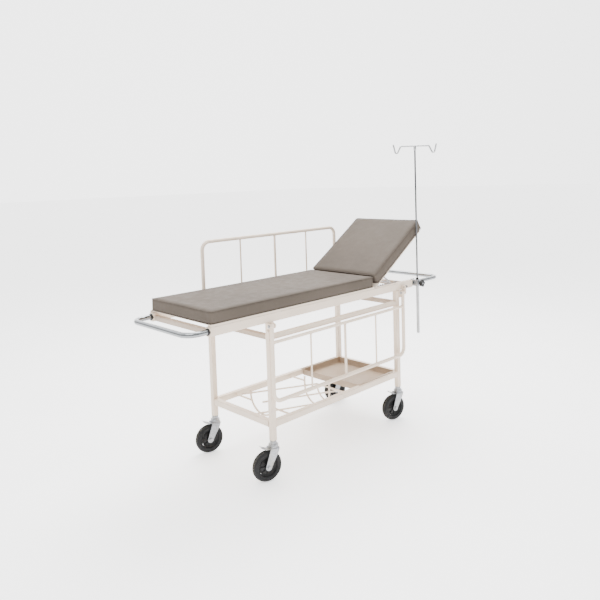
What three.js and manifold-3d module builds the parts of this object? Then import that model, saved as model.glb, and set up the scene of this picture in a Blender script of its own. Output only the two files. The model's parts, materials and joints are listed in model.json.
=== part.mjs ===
// Stretcher trolley: a welded steel base on four braked swivel casters, a two-section
// mattress with a ratchet backrest, two swing-down side rails, an oxygen-cylinder cradle,
// a storage tray, two push handles and a telescopic drip pole.
//
// Frame: millimetres. +X is the head end, +Y is the far side, +Z is up. The origin is on
// the floor below the middle of the object's bounding box.
import * as THREE from 'three';
import { mergeVertices } from 'three/addons/utils/BufferGeometryUtils.js';
import Module from 'manifold-3d';

const wasm = await Module();
wasm.setup();

// ---------------------------------------------------------------- driving dimensions
const GAP = 0.3;                 // clearance left between touching pieces
const WALL = 2;                  // wall of the square tubes

const LEG_X = 497;               // leg centres, lengthwise
const LEG_Y = 233;               // leg centres, across
const LEG_SIZE = 28;
const LEG_BOTTOM_Z = 193;

const LOWER_Z = 271;             // centre height of the lower rails
const LOWER_DEPTH = 32;
const UPPER_Z = 694;             // centre height of the upper rails
const UPPER_SIZE = 25;

const BEAM_Y = 234;              // centre of the two side beams that carry the deck
const BEAM_WIDTH = 30;
const BEAM_BOTTOM_Z = 768;
const BEAM_TOP_Z = 811;
const BEAM_FOOT_X = -846;
const BEAM_HEAD_X = 640;
const CROSS_SIZE = 25;
const CROSS_Z = 784;
const SHEET = 2;                 // thickness of the deck and backrest panels

const MATTRESS_WIDTH = 498;
const MATTRESS_DEPTH = 58.5;
const MATTRESS_BOTTOM_Z = 821;
const MATTRESS_CHAMFER = 5;
const SEAT_FOOT_X = -846;
const SEAT_HEAD_X = 283;

const HINGE_X = 300;             // backrest hinge axis
const HINGE_Z = 805;
const BACK_ANGLE = 33;           // backrest angle as modelled, degrees from flat
const BACK_PAD_LENGTH = 528;
const BACK_PAD_START = 28;       // pad's lower end, measured along the panel from the hinge
const PANEL_START = 4;
const PANEL_LENGTH = 520;
const PANEL_UNDERSIDE = 13.7;    // height of the panel sheet above the hinge axis

const PROP_ARM = 135;            // prop pivot to hinge, and prop pivot to prop foot
const PROP_Y = 172;
const PROP_ROD = 5;              // radius
const RACK_Y = 150;
const RACK_THICKNESS = 6;
const RACK_DEPTH = 24;
const TOOTH_PITCH = 22;
const TOOTH_DEPTH = 6;
const FIRST_TOOTH_X = 420;

const HANDLE_RADIUS = 12.5;
const HANDLE_BEND = 58;
const HANDLE_Z = 789.5;
const HANDLE_HEAD_X = 942;
const HANDLE_FOOT_X = -955;
const HANDLE_INSERT = 60;        // length of handle tube inside the beam

const RAIL_Y = 267;              // plane of each side rail
const RAIL_PIVOT_Z = 755;
const RAIL_FOOT_X = -511;
const RAIL_HEAD_X = 519;
const RAIL_REACH = 367;          // pivot to the centre of the rail's top tube
const RAIL_RADIUS = 10;
const RAIL_BEND = 44;
const RAIL_CROSS = 81;           // pivot to the rail's inner cross tube
const RAIL_CROSS_RADIUS = 8;
const RAIL_PIN_RADIUS = 4;
const PIN_CLEARANCE = 0.4;
const LATCH_RISE = 30;           // latch hole above the pivot
const LUG_RADIUS = 13;           // rounding of a lug's ears about the pivot
const LUG_PLATE = 5;
const LUG_DROP = 30;             // lug plate below the pivot
const LUG_EAR = 4;               // thickness of each ear
const EAR_CLEARANCE = 3;         // between the rail's tube and an ear
const LUG_REACH = RAIL_RADIUS + EAR_CLEARANCE + LUG_EAR;

const POLE_X = 680;
const POLE_Y = -258.5;
const POLE_TOP_Z = 1612;
const POLE_BOTTOM_Z = 482;
const POLE_SOCKET_TOP_Z = 803;
const POLE_ROD_BOTTOM_Z = 700;
const POLE_ROD_RADIUS = 5;
const POLE_TUBE_RADIUS = 9;
const POLE_YAW = -45;            // direction of the hook bar in plan, degrees

const WHEEL_RADIUS = 75;
const WHEEL_HALF_WIDTH = 17;
const CASTER_TRAIL = 38;
const CASTER_YAW = -15;          // casters trail towards the foot end, turned this much
const AXLE_RADIUS = 5;

const TRAY_FOOT_X = 150;
const TRAY_HEAD_X = LEG_X - LEG_SIZE / 2 - GAP;
const TRAY_FLOOR_Z = 252;
const TRAY_SHEET = 1.5;

const CRADLE_HALF_WIDTH = 97;
const CRADLE_ROD = 5;            // radius of hoops and basket rods
const HOOP_FOOT_X = -357;
const HOOP_HEAD_X = 48;
const CRADLE_SLOPE = -0.165;     // the cylinder lies head end down
const CRADLE_AXIS_Z = 252;       // height of the cradle's axis at X = 0

const rad = THREE.MathUtils.degToRad;

// ---------------------------------------------------------------- materials
const paint = { color: 0xf1e9e0, roughness: 0.42, metalness: 0.1 };
const trayPaint = { color: 0xe6dccf, roughness: 0.45, metalness: 0.1 };
const chrome = { color: 0xc9cbce, roughness: 0.16, metalness: 1.0 };
const steel = { color: 0x9d9fa3, roughness: 0.35, metalness: 1.0 };
const zinc = { color: 0xb5b5ba, roughness: 0.4, metalness: 0.9 };
const vinyl = { color: 0xa29a92, roughness: 0.55, metalness: 0.0 };
const rubber = { color: 0x232324, roughness: 0.75, metalness: 0.0 };
const blackPlastic = { color: 0x171717, roughness: 0.5, metalness: 0.0 };

const trolley = new THREE.Group();

function addMesh(name, geometry, look, parent = trolley) {
  const mesh = new THREE.Mesh(geometry, new THREE.MeshStandardMaterial(look));
  mesh.name = name;
  parent.add(mesh);
  return mesh;
}

// ---------------------------------------------------------------- solids
function toSolid(geometry) {
  const bare = geometry.clone();
  bare.deleteAttribute('normal');
  bare.deleteAttribute('uv');
  const merged = mergeVertices(bare, 1e-4);
  return new wasm.Manifold(new wasm.Mesh({
    numProp: 3,
    vertProperties: new Float32Array(merged.attributes.position.array),
    triVerts: new Uint32Array(merged.index.array),
  }));
}

function toGeometry(solid) {
  const mesh = solid.getMesh();
  const geometry = new THREE.BufferGeometry();
  geometry.setAttribute('position', new THREE.BufferAttribute(mesh.vertProperties, 3));
  geometry.setIndex(new THREE.BufferAttribute(mesh.triVerts, 1));
  geometry.computeVertexNormals();
  return geometry;
}

function join(...geometries) {
  return toGeometry(geometries.map(toSolid).reduce((sum, next) => sum.add(next)));
}

function cut(body, ...tools) {
  return toGeometry(tools.map(toSolid).reduce((left, tool) => left.subtract(tool), toSolid(body)));
}

// A box given by its lowest and highest corners.
function block([x0, y0, z0], [x1, y1, z1]) {
  const geometry = new THREE.BoxGeometry(x1 - x0, y1 - y0, z1 - z0);
  return geometry.translate((x0 + x1) / 2, (y0 + y1) / 2, (z0 + z1) / 2);
}

// A round bar between two points.
function bar(from, to, radius, sides = 12) {
  const start = new THREE.Vector3(...from);
  const end = new THREE.Vector3(...to);
  const geometry = new THREE.CylinderGeometry(radius, radius, start.distanceTo(end), sides);
  const along = end.clone().sub(start).normalize();
  geometry.applyQuaternion(new THREE.Quaternion().setFromUnitVectors(new THREE.Vector3(0, 1, 0), along));
  return geometry.translate(...start.add(end).multiplyScalar(0.5).toArray());
}

// A flat plate: an outline in X and Z, with a thickness along Y from y0 to y1.
function plateXZ(shape, y0, y1, curveSegments = 8) {
  const options = { depth: y1 - y0, bevelEnabled: false, curveSegments };
  return new THREE.ExtrudeGeometry(shape, options).rotateX(Math.PI / 2).translate(0, y1, 0);
}

// A flat plate: an outline in Y and Z, with a thickness along X from x0 to x1.
function plateYZ(shape, x0, x1, curveSegments = 8) {
  const options = { depth: x1 - x0, bevelEnabled: false, curveSegments };
  const turn = new THREE.Matrix4().set(0, 0, 1, x0, 1, 0, 0, 0, 0, 1, 0, 0, 0, 0, 0, 1);
  return new THREE.ExtrudeGeometry(shape, options).applyMatrix4(turn);
}

function rectangle(width, height) {
  const shape = new THREE.Shape();
  shape.moveTo(-width / 2, -height / 2);
  shape.lineTo(width / 2, -height / 2);
  shape.lineTo(width / 2, height / 2);
  shape.lineTo(-width / 2, height / 2);
  shape.closePath();
  return shape;
}

// A hollow rectangular tube along X from x0 to x1, centred on y and z.
function tubeAlongX(x0, x1, y, z, width, height) {
  const shape = rectangle(width, height);
  shape.holes.push(rectangle(width - 2 * WALL, height - 2 * WALL));
  return plateYZ(shape, x0, x1).translate(0, y, z);
}

function tubeAlongY(y0, y1, x, z, width, height) {
  return tubeAlongX(y0, y1, 0, 0, width, height).rotateZ(Math.PI / 2).translate(x, 0, z);
}

function tubeAlongZ(z0, z1, x, y, size) {
  return tubeAlongX(z0, z1, 0, 0, size, size).rotateY(-Math.PI / 2).translate(x, y, 0);
}

// A path through given stations, so that a bent tube has rings only where it needs them.
class StationPath extends THREE.Curve {
  constructor(stations) {
    super();
    this.stations = stations;
  }

  getPoint(t, target = new THREE.Vector3()) {
    return target.copy(this.stations[Math.round(t * (this.stations.length - 1))]);
  }

  getPointAt(u, target) {
    return this.getPoint(u, target);
  }

  getTangentAt(u, target = new THREE.Vector3()) {
    const last = this.stations.length - 1;
    const index = Math.round(u * last);
    const before = this.stations[Math.max(index - 1, 0)];
    const here = this.stations[index];
    const after = this.stations[Math.min(index + 1, last)];
    const incoming = here.clone().sub(before).normalize();
    const outgoing = after.clone().sub(here).normalize();
    return target.copy(incoming).add(outgoing).normalize();
  }
}

// Stations of a polyline whose inner corners are rounded to a bend radius.
function roundedStations(corners, bend, stepsPerBend = 6) {
  const points = corners.map((corner) => new THREE.Vector3(...corner));
  const stations = [points[0]];
  for (let i = 1; i < points.length - 1; i += 1) {
    const toBefore = points[i - 1].clone().sub(points[i]).normalize();
    const toAfter = points[i + 1].clone().sub(points[i]).normalize();
    const halfAngle = toBefore.angleTo(toAfter) / 2;
    const centre = toBefore.clone().add(toAfter).normalize().multiplyScalar(bend / Math.sin(halfAngle));
    centre.add(points[i]);
    const start = points[i].clone().addScaledVector(toBefore, bend / Math.tan(halfAngle)).sub(centre);
    const turn = Math.PI - 2 * halfAngle;
    const axis = toAfter.clone().cross(toBefore).normalize();
    for (let step = 0; step <= stepsPerBend; step += 1) {
      const angle = turn * step / stepsPerBend;
      stations.push(start.clone().applyAxisAngle(axis, angle).add(centre));
    }
  }
  stations.push(points[points.length - 1]);
  return stations;
}

function roundSection(radius, sides) {
  const shape = new THREE.Shape();
  for (let i = 0; i < sides; i += 1) {
    const angle = 2 * Math.PI * i / sides;
    const move = i === 0 ? 'moveTo' : 'lineTo';
    shape[move](radius * Math.cos(angle), radius * Math.sin(angle));
  }
  shape.closePath();
  return shape;
}

// A solid round bar bent along a rounded polyline.
function bentBar(corners, bend, radius, sides = 12, stepsPerBend = 6) {
  const stations = roundedStations(corners, bend, stepsPerBend);
  return new THREE.ExtrudeGeometry(roundSection(radius, sides), {
    steps: stations.length - 1,
    extrudePath: new StationPath(stations),
    bevelEnabled: false,
  });
}

// A ring turned about Y from a closed outline of [radius, y] points.
function turnedRing(outline, segments) {
  const points = [...outline, outline[0]].map(([r, y]) => new THREE.Vector2(r, y));
  return new THREE.LatheGeometry(points, segments);
}

// ---------------------------------------------------------------- base frame
// Each leg carries, near its top, a welded clevis lug for the side rail's pivot.
function railLug(legX, railX, side, withLatch) {
  const inner = RAIL_RADIUS + EAR_CLEARANCE;
  const plateTop = BEAM_BOTTOM_Z - GAP;
  const plateBottom = RAIL_PIVOT_Z - LUG_DROP;
  const legFace = LEG_Y + LEG_SIZE / 2;
  const earRoot = legFace + LUG_PLATE - 1;
  const lowX = Math.min(legX - LEG_SIZE / 2, railX - LUG_REACH);
  const highX = Math.max(legX + LEG_SIZE / 2, railX + LUG_REACH);
  const pieces = [block([lowX, legFace - 1, plateBottom], [highX, legFace + LUG_PLATE, plateTop])];
  const ear = (top) => {
    const shape = new THREE.Shape();
    shape.moveTo(earRoot, RAIL_PIVOT_Z - LUG_RADIUS);
    shape.lineTo(RAIL_Y, RAIL_PIVOT_Z - LUG_RADIUS);
    shape.absarc(RAIL_Y, RAIL_PIVOT_Z, LUG_RADIUS, -Math.PI / 2, 0, false);
    shape.lineTo(RAIL_Y + LUG_RADIUS, top);
    shape.lineTo(earRoot, top);
    shape.closePath();
    return shape;
  };
  const shortTop = RAIL_PIVOT_Z + 12;
  const latchTop = RAIL_PIVOT_Z + LATCH_RISE + 10;
  const outward = Math.sign(railX);
  for (const end of [-1, 1]) {
    const near = railX + end * inner;
    const far = railX + end * LUG_REACH;
    const top = withLatch && end === outward ? latchTop : shortTop;
    pieces.push(plateYZ(ear(top), Math.min(near, far), Math.max(near, far)));
  }
  const reach = LUG_REACH + 2;
  const bore = RAIL_PIN_RADIUS + PIN_CLEARANCE;
  const holes = [bar([railX - reach, RAIL_Y, RAIL_PIVOT_Z], [railX + reach, RAIL_Y, RAIL_PIVOT_Z], bore)];
  if (withLatch) {
    const latchZ = RAIL_PIVOT_Z + LATCH_RISE;
    holes.push(bar([railX, RAIL_Y, latchZ], [railX + outward * reach, RAIL_Y, latchZ], bore));
  }
  const lug = cut(join(...pieces), ...holes);
  return side > 0 ? lug : mirrorY(lug);
}

// Mirrors a geometry in the plane Y = 0 and keeps its faces pointing out.
function mirrorY(geometry) {
  const mirrored = geometry.clone().applyMatrix4(new THREE.Matrix4().makeScale(1, -1, 1));
  const index = mirrored.index.array;
  for (let i = 0; i < index.length; i += 3) {
    [index[i + 1], index[i + 2]] = [index[i + 2], index[i + 1]];
  }
  return mirrored;
}

const corners = [
  { name: 'foot_near', x: -1, y: -1 },
  { name: 'foot_far', x: -1, y: 1 },
  { name: 'head_near', x: 1, y: -1 },
  { name: 'head_far', x: 1, y: 1 },
];

function addLegs() {
  for (const { name, x, y } of corners) {
    const tube = tubeAlongZ(LEG_BOTTOM_Z, BEAM_BOTTOM_Z - GAP, x * LEG_X, y * LEG_Y, LEG_SIZE);
    const lug = railLug(x * LEG_X, x > 0 ? RAIL_HEAD_X : RAIL_FOOT_X, y, x > 0);
    addMesh(`leg_${name}`, join(tube, lug), paint);
  }
}

function addBaseRails() {
  const spanX = LEG_X - LEG_SIZE / 2 - GAP;
  const spanY = LEG_Y - LEG_SIZE / 2 - GAP;
  for (const [side, y] of [['near', -LEG_Y], ['far', LEG_Y]]) {
    addMesh(`lower_rail_${side}`, tubeAlongX(-spanX, spanX, y, LOWER_Z, LEG_SIZE, LOWER_DEPTH), paint);
    addMesh(`upper_rail_${side}`, tubeAlongX(-spanX, spanX, y, UPPER_Z, UPPER_SIZE, UPPER_SIZE), paint);
  }
  for (const [end, x] of [['foot', -LEG_X], ['head', LEG_X]]) {
    addMesh(`lower_cross_${end}`, tubeAlongY(-spanY, spanY, x, LOWER_Z, LEG_SIZE, LOWER_DEPTH), paint);
    addMesh(`upper_cross_${end}`, tubeAlongY(-spanY, spanY, x, UPPER_Z, UPPER_SIZE, UPPER_SIZE), paint);
  }
}

const deckCrossX = { foot: BEAM_FOOT_X + 16, middle: HINGE_X - 38, head: BEAM_HEAD_X - 13 };

function addDeckFrame() {
  const depth = BEAM_TOP_Z - BEAM_BOTTOM_Z;
  const centreZ = (BEAM_TOP_Z + BEAM_BOTTOM_Z) / 2;
  for (const [side, y] of [['near', -BEAM_Y], ['far', BEAM_Y]]) {
    addMesh(`side_beam_${side}`,
      tubeAlongX(BEAM_FOOT_X, BEAM_HEAD_X, y, centreZ, BEAM_WIDTH, depth), paint);
  }
  const spanY = BEAM_Y - BEAM_WIDTH / 2 - GAP;
  for (const [name, x] of Object.entries(deckCrossX)) {
    addMesh(`deck_cross_${name}`, tubeAlongY(-spanY, spanY, x, CROSS_Z, CROSS_SIZE, CROSS_SIZE), paint);
  }
  addMesh('deck_panel', deckPanel(), paint);
}

// The fixed deck is one steel sheet with its long edges folded down onto the beams.
function deckPanel() {
  const half = MATTRESS_WIDTH / 2 - 1;
  const top = MATTRESS_BOTTOM_Z - GAP;
  const bottom = BEAM_TOP_Z + GAP;
  const shape = new THREE.Shape();
  shape.moveTo(-half, bottom);
  shape.lineTo(-half + SHEET, bottom);
  shape.lineTo(-half + SHEET, top - SHEET);
  shape.lineTo(half - SHEET, top - SHEET);
  shape.lineTo(half - SHEET, bottom);
  shape.lineTo(half, bottom);
  shape.lineTo(half, top);
  shape.lineTo(-half, top);
  shape.closePath();
  return plateYZ(shape, SEAT_FOOT_X + 1, SEAT_HEAD_X - 2);
}

// ---------------------------------------------------------------- mattress
function padSolid(length) {
  const c = MATTRESS_CHAMFER;
  const half = MATTRESS_WIDTH / 2;
  const section = new THREE.Shape();
  section.moveTo(-half, c);
  section.lineTo(-half + c, 0);
  section.lineTo(half - c, 0);
  section.lineTo(half, c);
  section.lineTo(half, MATTRESS_DEPTH - c);
  section.lineTo(half - c, MATTRESS_DEPTH);
  section.lineTo(-half + c, MATTRESS_DEPTH);
  section.lineTo(-half, MATTRESS_DEPTH - c);
  section.closePath();
  return plateYZ(section, 0, length);
}

function addSeatPad() {
  const pad = addMesh('seat_pad', padSolid(SEAT_HEAD_X - SEAT_FOOT_X), vinyl);
  pad.position.set(SEAT_FOOT_X, 0, MATTRESS_BOTTOM_Z);
}

// ---------------------------------------------------------------- backrest
const BACK_TUBE = 20;
const BACK_TUBE_Y = 200;
const BACK_TUBE_START = -9;       // the tubes reach a little below the hinge axis
const BACK_TUBE_END = PANEL_LENGTH - 8;
const WELD_DEPTH = 0.2;          // how far the tubes run into the panel, so that they join
const HINGE_ROD_RADIUS = 6;

// Two side tubes, an end tube and the panel sheet, welded; u runs up the backrest from the
// hinge axis and v away from it.
function backrestFrame() {
  const high = PANEL_UNDERSIDE + WELD_DEPTH;
  const low = high - BACK_TUBE;
  const pieces = [-1, 1].map((side) => {
    const y = side * BACK_TUBE_Y;
    return block([BACK_TUBE_START, y - BACK_TUBE / 2, low], [BACK_TUBE_END, y + BACK_TUBE / 2, high]);
  });
  pieces.push(block([BACK_TUBE_END - BACK_TUBE, -BACK_TUBE_Y, low], [BACK_TUBE_END, BACK_TUBE_Y, high]));
  const half = MATTRESS_WIDTH / 2 - 1;
  pieces.push(block([PANEL_START, -half, PANEL_UNDERSIDE], [PANEL_LENGTH, half, PANEL_UNDERSIDE + SHEET]));
  const reach = BACK_TUBE_Y + BACK_TUBE;
  return cut(
    join(...pieces),
    bar([0, -reach, 0], [0, reach, 0], HINGE_ROD_RADIUS + PIN_CLEARANCE, 20),
    bar([PROP_ARM, -reach, 0], [PROP_ARM, reach, 0], PROP_ROD + PIN_CLEARANCE, 16),
  );
}

// The prop is a closed bail: pivot rod, two arms and a foot rod that rides on the racks.
function propBail() {
  const pivotReach = BACK_TUBE_Y + BACK_TUBE / 2 - 2;
  const arms = [-1, 1].map((side) => {
    const y = side * PROP_Y;
    return bar([0, y, 0], [PROP_ARM, y, 0], PROP_ROD, 12);
  });
  return join(
    bar([0, -pivotReach, 0], [0, pivotReach, 0], PROP_ROD, 12),
    bar([PROP_ARM, -PROP_Y - PROP_ROD, 0], [PROP_ARM, PROP_Y + PROP_ROD, 0], PROP_ROD, 12),
    ...arms,
  );
}

function addBackrest() {
  const back = new THREE.Group();
  back.position.set(HINGE_X, 0, HINGE_Z);
  back.rotation.y = -rad(BACK_ANGLE);
  trolley.add(back);
  addMesh('backrest_frame', backrestFrame(), paint, back);
  const pad = addMesh('back_pad', padSolid(BACK_PAD_LENGTH), vinyl, back);
  pad.position.set(BACK_PAD_START, 0, PANEL_UNDERSIDE + SHEET + GAP);

  const prop = addMesh('backrest_prop', propBail(), zinc, back);
  prop.position.set(PROP_ARM, 0, 0);
  prop.rotation.y = rad(2 * BACK_ANGLE);

  const rodReach = BEAM_Y - BEAM_WIDTH / 2 - GAP;
  addMesh('backrest_hinge_rod',
    bar([HINGE_X, -rodReach, HINGE_Z], [HINGE_X, rodReach, HINGE_Z], HINGE_ROD_RADIUS, 20), steel);
}

// Toothed bars between the middle and head cross tubes, which hold the prop's foot rod.
function addRacks() {
  const x0 = deckCrossX.middle + CROSS_SIZE / 2 + GAP;
  const x1 = deckCrossX.head - CROSS_SIZE / 2 - GAP;
  const top = HINGE_Z - PROP_ROD - GAP;
  const rise = HINGE_X + 25;       // lower before this, to pass under the hinge rod
  const teeth = Math.floor((x1 - FIRST_TOOTH_X) / TOOTH_PITCH);
  const shape = new THREE.Shape();
  shape.moveTo(x0, top - RACK_DEPTH);
  shape.lineTo(x1, top - RACK_DEPTH);
  shape.lineTo(x1, top);
  for (let i = teeth; i > 0; i -= 1) {
    const crest = FIRST_TOOTH_X + i * TOOTH_PITCH;
    shape.lineTo(crest - TOOTH_PITCH * 0.3, top);
    shape.lineTo(crest - TOOTH_PITCH * 0.5, top - TOOTH_DEPTH);
    shape.lineTo(crest - TOOTH_PITCH * 0.8, top - TOOTH_DEPTH);
  }
  shape.lineTo(FIRST_TOOTH_X, top);
  shape.lineTo(rise, top);
  shape.lineTo(rise, top - TOOTH_DEPTH);
  shape.lineTo(x0, top - TOOTH_DEPTH);
  shape.closePath();
  for (const [side, y] of [['near', -RACK_Y], ['far', RACK_Y]]) {
    addMesh(`prop_rack_${side}`, plateXZ(shape, y - RACK_THICKNESS / 2, y + RACK_THICKNESS / 2), zinc);
  }
}

// ---------------------------------------------------------------- push handles
function addHandles() {
  const ends = [
    ['foot', HANDLE_FOOT_X, BEAM_FOOT_X + HANDLE_INSERT],
    ['head', HANDLE_HEAD_X, BEAM_HEAD_X - HANDLE_INSERT],
  ];
  for (const [name, outerX, innerX] of ends) {
    const path = [
      [innerX, -BEAM_Y, HANDLE_Z],
      [outerX, -BEAM_Y, HANDLE_Z],
      [outerX, BEAM_Y, HANDLE_Z],
      [innerX, BEAM_Y, HANDLE_Z],
    ];
    addMesh(`push_handle_${name}`, bentBar(path, HANDLE_BEND, HANDLE_RADIUS, 14, 7), chrome);
  }
}

// ---------------------------------------------------------------- side rails
// Modelled raised, in the plane Y = 0 with the pivot at Z = 0.
function sideRail() {
  const pieces = [bentBar([
    [RAIL_FOOT_X, 0, 0], [RAIL_FOOT_X, 0, RAIL_REACH],
    [RAIL_HEAD_X, 0, RAIL_REACH], [RAIL_HEAD_X, 0, 0],
  ], RAIL_BEND, RAIL_RADIUS, 10, 5)];
  pieces.push(bar([RAIL_FOOT_X, 0, RAIL_CROSS], [RAIL_HEAD_X, 0, RAIL_CROSS], RAIL_CROSS_RADIUS, 10));
  const length = RAIL_HEAD_X - RAIL_FOOT_X;
  const bars = [[0.25, 4.5], [0.5, 6.5], [0.75, 4.5]];
  for (const [share, radius] of bars) {
    const x = RAIL_FOOT_X + share * length;
    pieces.push(bar([x, 0, RAIL_CROSS], [x, 0, RAIL_REACH], radius, 8));
  }
  const reach = LUG_REACH + 5;
  for (const x of [RAIL_FOOT_X, RAIL_HEAD_X]) {
    pieces.push(bar([x - RAIL_RADIUS, 0, 0], [x + RAIL_RADIUS, 0, 0], RAIL_RADIUS, 12));
    pieces.push(bar([x - reach, 0, 0], [x + reach, 0, 0], RAIL_PIN_RADIUS, 10));
  }
  const latchHole = bar([RAIL_HEAD_X - 15, 0, LATCH_RISE], [RAIL_HEAD_X + 15, 0, LATCH_RISE],
    RAIL_PIN_RADIUS + PIN_CLEARANCE);
  return cut(join(...pieces), latchHole);
}

// Drawn back: the plunger's tip stops just short of the rail, and its knob stands off the lug.
function latchPlunger() {
  const tip = RAIL_RADIUS + 1.5;
  const knobStart = LUG_REACH + 11;
  const knobLength = 13;
  return join(
    bar([tip, 0, 0], [knobStart + 3, 0, 0], RAIL_PIN_RADIUS - 0.5, 16),
    bar([knobStart, 0, 0], [knobStart + knobLength, 0, 0], 8, 16),
  );
}

function addSideRails() {
  const far = addMesh('side_rail_far', sideRail(), paint);
  far.position.set(0, RAIL_Y, RAIL_PIVOT_Z);
  const near = addMesh('side_rail_near', sideRail(), paint);
  near.position.set(0, -RAIL_Y, RAIL_PIVOT_Z);
  near.rotation.x = Math.PI;
  for (const [side, y] of [['near', -RAIL_Y], ['far', RAIL_Y]]) {
    const plunger = addMesh(`rail_latch_${side}`, latchPlunger(), steel);
    plunger.position.set(RAIL_HEAD_X, y, RAIL_PIVOT_Z + LATCH_RISE);
  }
}

// ---------------------------------------------------------------- drip pole
const SOCKET_CLEARANCE = 0.6;
const CLAMP_CLEARANCE = 0.5;
const CLAMP_HALF = 16;
const CLAMP_HALF_DEPTH = 19;
const CLAMP_WALL = 5;
const CLAMP_OUTER_Y = POLE_Y - POLE_TUBE_RADIUS - 4;
const HOOK_BAR_RADIUS = 5;
const HOOK_BAR_HALF = 84;
const HOOK_LOW_REACH = 112;       // where each hook's bottom lies, from the pole
const HOOK_LOW_Z = -58;
const HOOK_TIP_REACH = 128;
const HOOK_TIP_Z = 12;
const KNOB_LOBES = 5;
const KNOB_RADIUS = 19.5;
const KNOB_LOBE_HEIGHT = 4;
const KNOB_BACK = 13;             // from the clamp's face to the knob's head
const KNOB_FRONT = 29;
const KNOB_STUD_RADIUS = 7;

function addDripPole() {
  const socket = cut(
    bar([POLE_X, POLE_Y, POLE_BOTTOM_Z], [POLE_X, POLE_Y, POLE_SOCKET_TOP_Z], POLE_TUBE_RADIUS, 20),
    bar([POLE_X, POLE_Y, POLE_BOTTOM_Z - 5], [POLE_X, POLE_Y, POLE_SOCKET_TOP_Z + 5],
      POLE_ROD_RADIUS + SOCKET_CLEARANCE, 16),
  );
  addMesh('pole_socket_tube', socket, steel);
  addMesh('pole_clamp', poleClamp(), zinc);

  addMesh('pole_rod',
    bar([POLE_X, POLE_Y, POLE_ROD_BOTTOM_Z], [POLE_X, POLE_Y, POLE_TOP_Z - 8], POLE_ROD_RADIUS), steel);
  const hooks = addMesh('pole_hooks', poleHooks(), steel);
  hooks.position.set(POLE_X, POLE_Y, POLE_TOP_Z);
  hooks.rotation.z = rad(POLE_YAW);

  const knob = addMesh('pole_knob', starKnob(), blackPlastic);
  knob.position.set(POLE_X, CLAMP_OUTER_Y, HANDLE_Z);
}

// One block that grips the handle arm along X and the pole's socket tube along Z.
function poleClamp() {
  const x0 = POLE_X - CLAMP_HALF;
  const x1 = POLE_X + CLAMP_HALF;
  const z0 = HANDLE_Z - CLAMP_HALF_DEPTH;
  const z1 = HANDLE_Z + CLAMP_HALF_DEPTH;
  const innerY = -BEAM_Y + HANDLE_RADIUS + CLAMP_WALL;
  return cut(
    block([x0, CLAMP_OUTER_Y, z0], [x1, innerY, z1]),
    bar([x0 - 5, -BEAM_Y, HANDLE_Z], [x1 + 5, -BEAM_Y, HANDLE_Z], HANDLE_RADIUS + CLAMP_CLEARANCE, 20),
    bar([POLE_X, POLE_Y, z0 - 5], [POLE_X, POLE_Y, z1 + 5], POLE_TUBE_RADIUS + CLAMP_CLEARANCE, 20),
  );
}

// The hook bar in the plane Y = 0, with a sleeve that turns on the rod's top; each end of
// the bar dips and turns up into a hook.
function poleHooks() {
  const half = [
    [HOOK_BAR_HALF, 0, 0], [HOOK_LOW_REACH, 0, HOOK_LOW_Z], [HOOK_TIP_REACH, 0, HOOK_TIP_Z],
  ];
  const otherHalf = half.map(([x, y, z]) => [-x, y, z]).reverse();
  const sleeve = cut(
    bar([0, 0, -26], [0, 0, 2], POLE_ROD_RADIUS + 3),
    bar([0, 0, -40], [0, 0, -7.5], POLE_ROD_RADIUS + 0.4),
  );
  return join(bentBar([...otherHalf, ...half], 9, HOOK_BAR_RADIUS, 8, 4), sleeve);
}

// A five-lobed hand knob on a short stud, pointing towards -Y.
function starKnob() {
  const shape = new THREE.Shape();
  const steps = 40;
  for (let i = 0; i < steps; i += 1) {
    const angle = 2 * Math.PI * i / steps;
    const radius = KNOB_RADIUS + KNOB_LOBE_HEIGHT * Math.cos(KNOB_LOBES * angle);
    const move = i === 0 ? 'moveTo' : 'lineTo';
    shape[move](radius * Math.cos(angle), radius * Math.sin(angle));
  }
  shape.closePath();
  return join(
    plateXZ(shape, -KNOB_FRONT, -KNOB_BACK),
    bar([0, -KNOB_BACK - 1, 0], [0, -GAP, 0], KNOB_STUD_RADIUS, 16),
  );
}

// ---------------------------------------------------------------- tray
function addTray() {
  const half = LEG_Y - LEG_SIZE / 2 - GAP;
  const top = LOWER_Z + LOWER_DEPTH / 2 + GAP;
  const outer = block([TRAY_FOOT_X, -half, TRAY_FLOOR_Z], [TRAY_HEAD_X, half, top + TRAY_SHEET]);
  const s = TRAY_SHEET;
  const inner = block(
    [TRAY_FOOT_X + s, -half + s, TRAY_FLOOR_Z + s],
    [TRAY_HEAD_X - s, half - s, top + TRAY_SHEET + 5],
  );
  // A rim folded out over the two long rails carries the tray.
  const rim = [-1, 1].map((side) => block(
    [TRAY_FOOT_X, Math.min(side * (half - 1), side * (half + 16)), top],
    [TRAY_HEAD_X - LEG_SIZE, Math.max(side * (half - 1), side * (half + 16)), top + TRAY_SHEET],
  ));
  addMesh('storage_tray', join(cut(outer, inner), ...rim), trayPaint);
}

// ---------------------------------------------------------------- oxygen-cylinder cradle
const cradleAxisZ = (x) => CRADLE_AXIS_Z + CRADLE_SLOPE * x;

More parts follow.
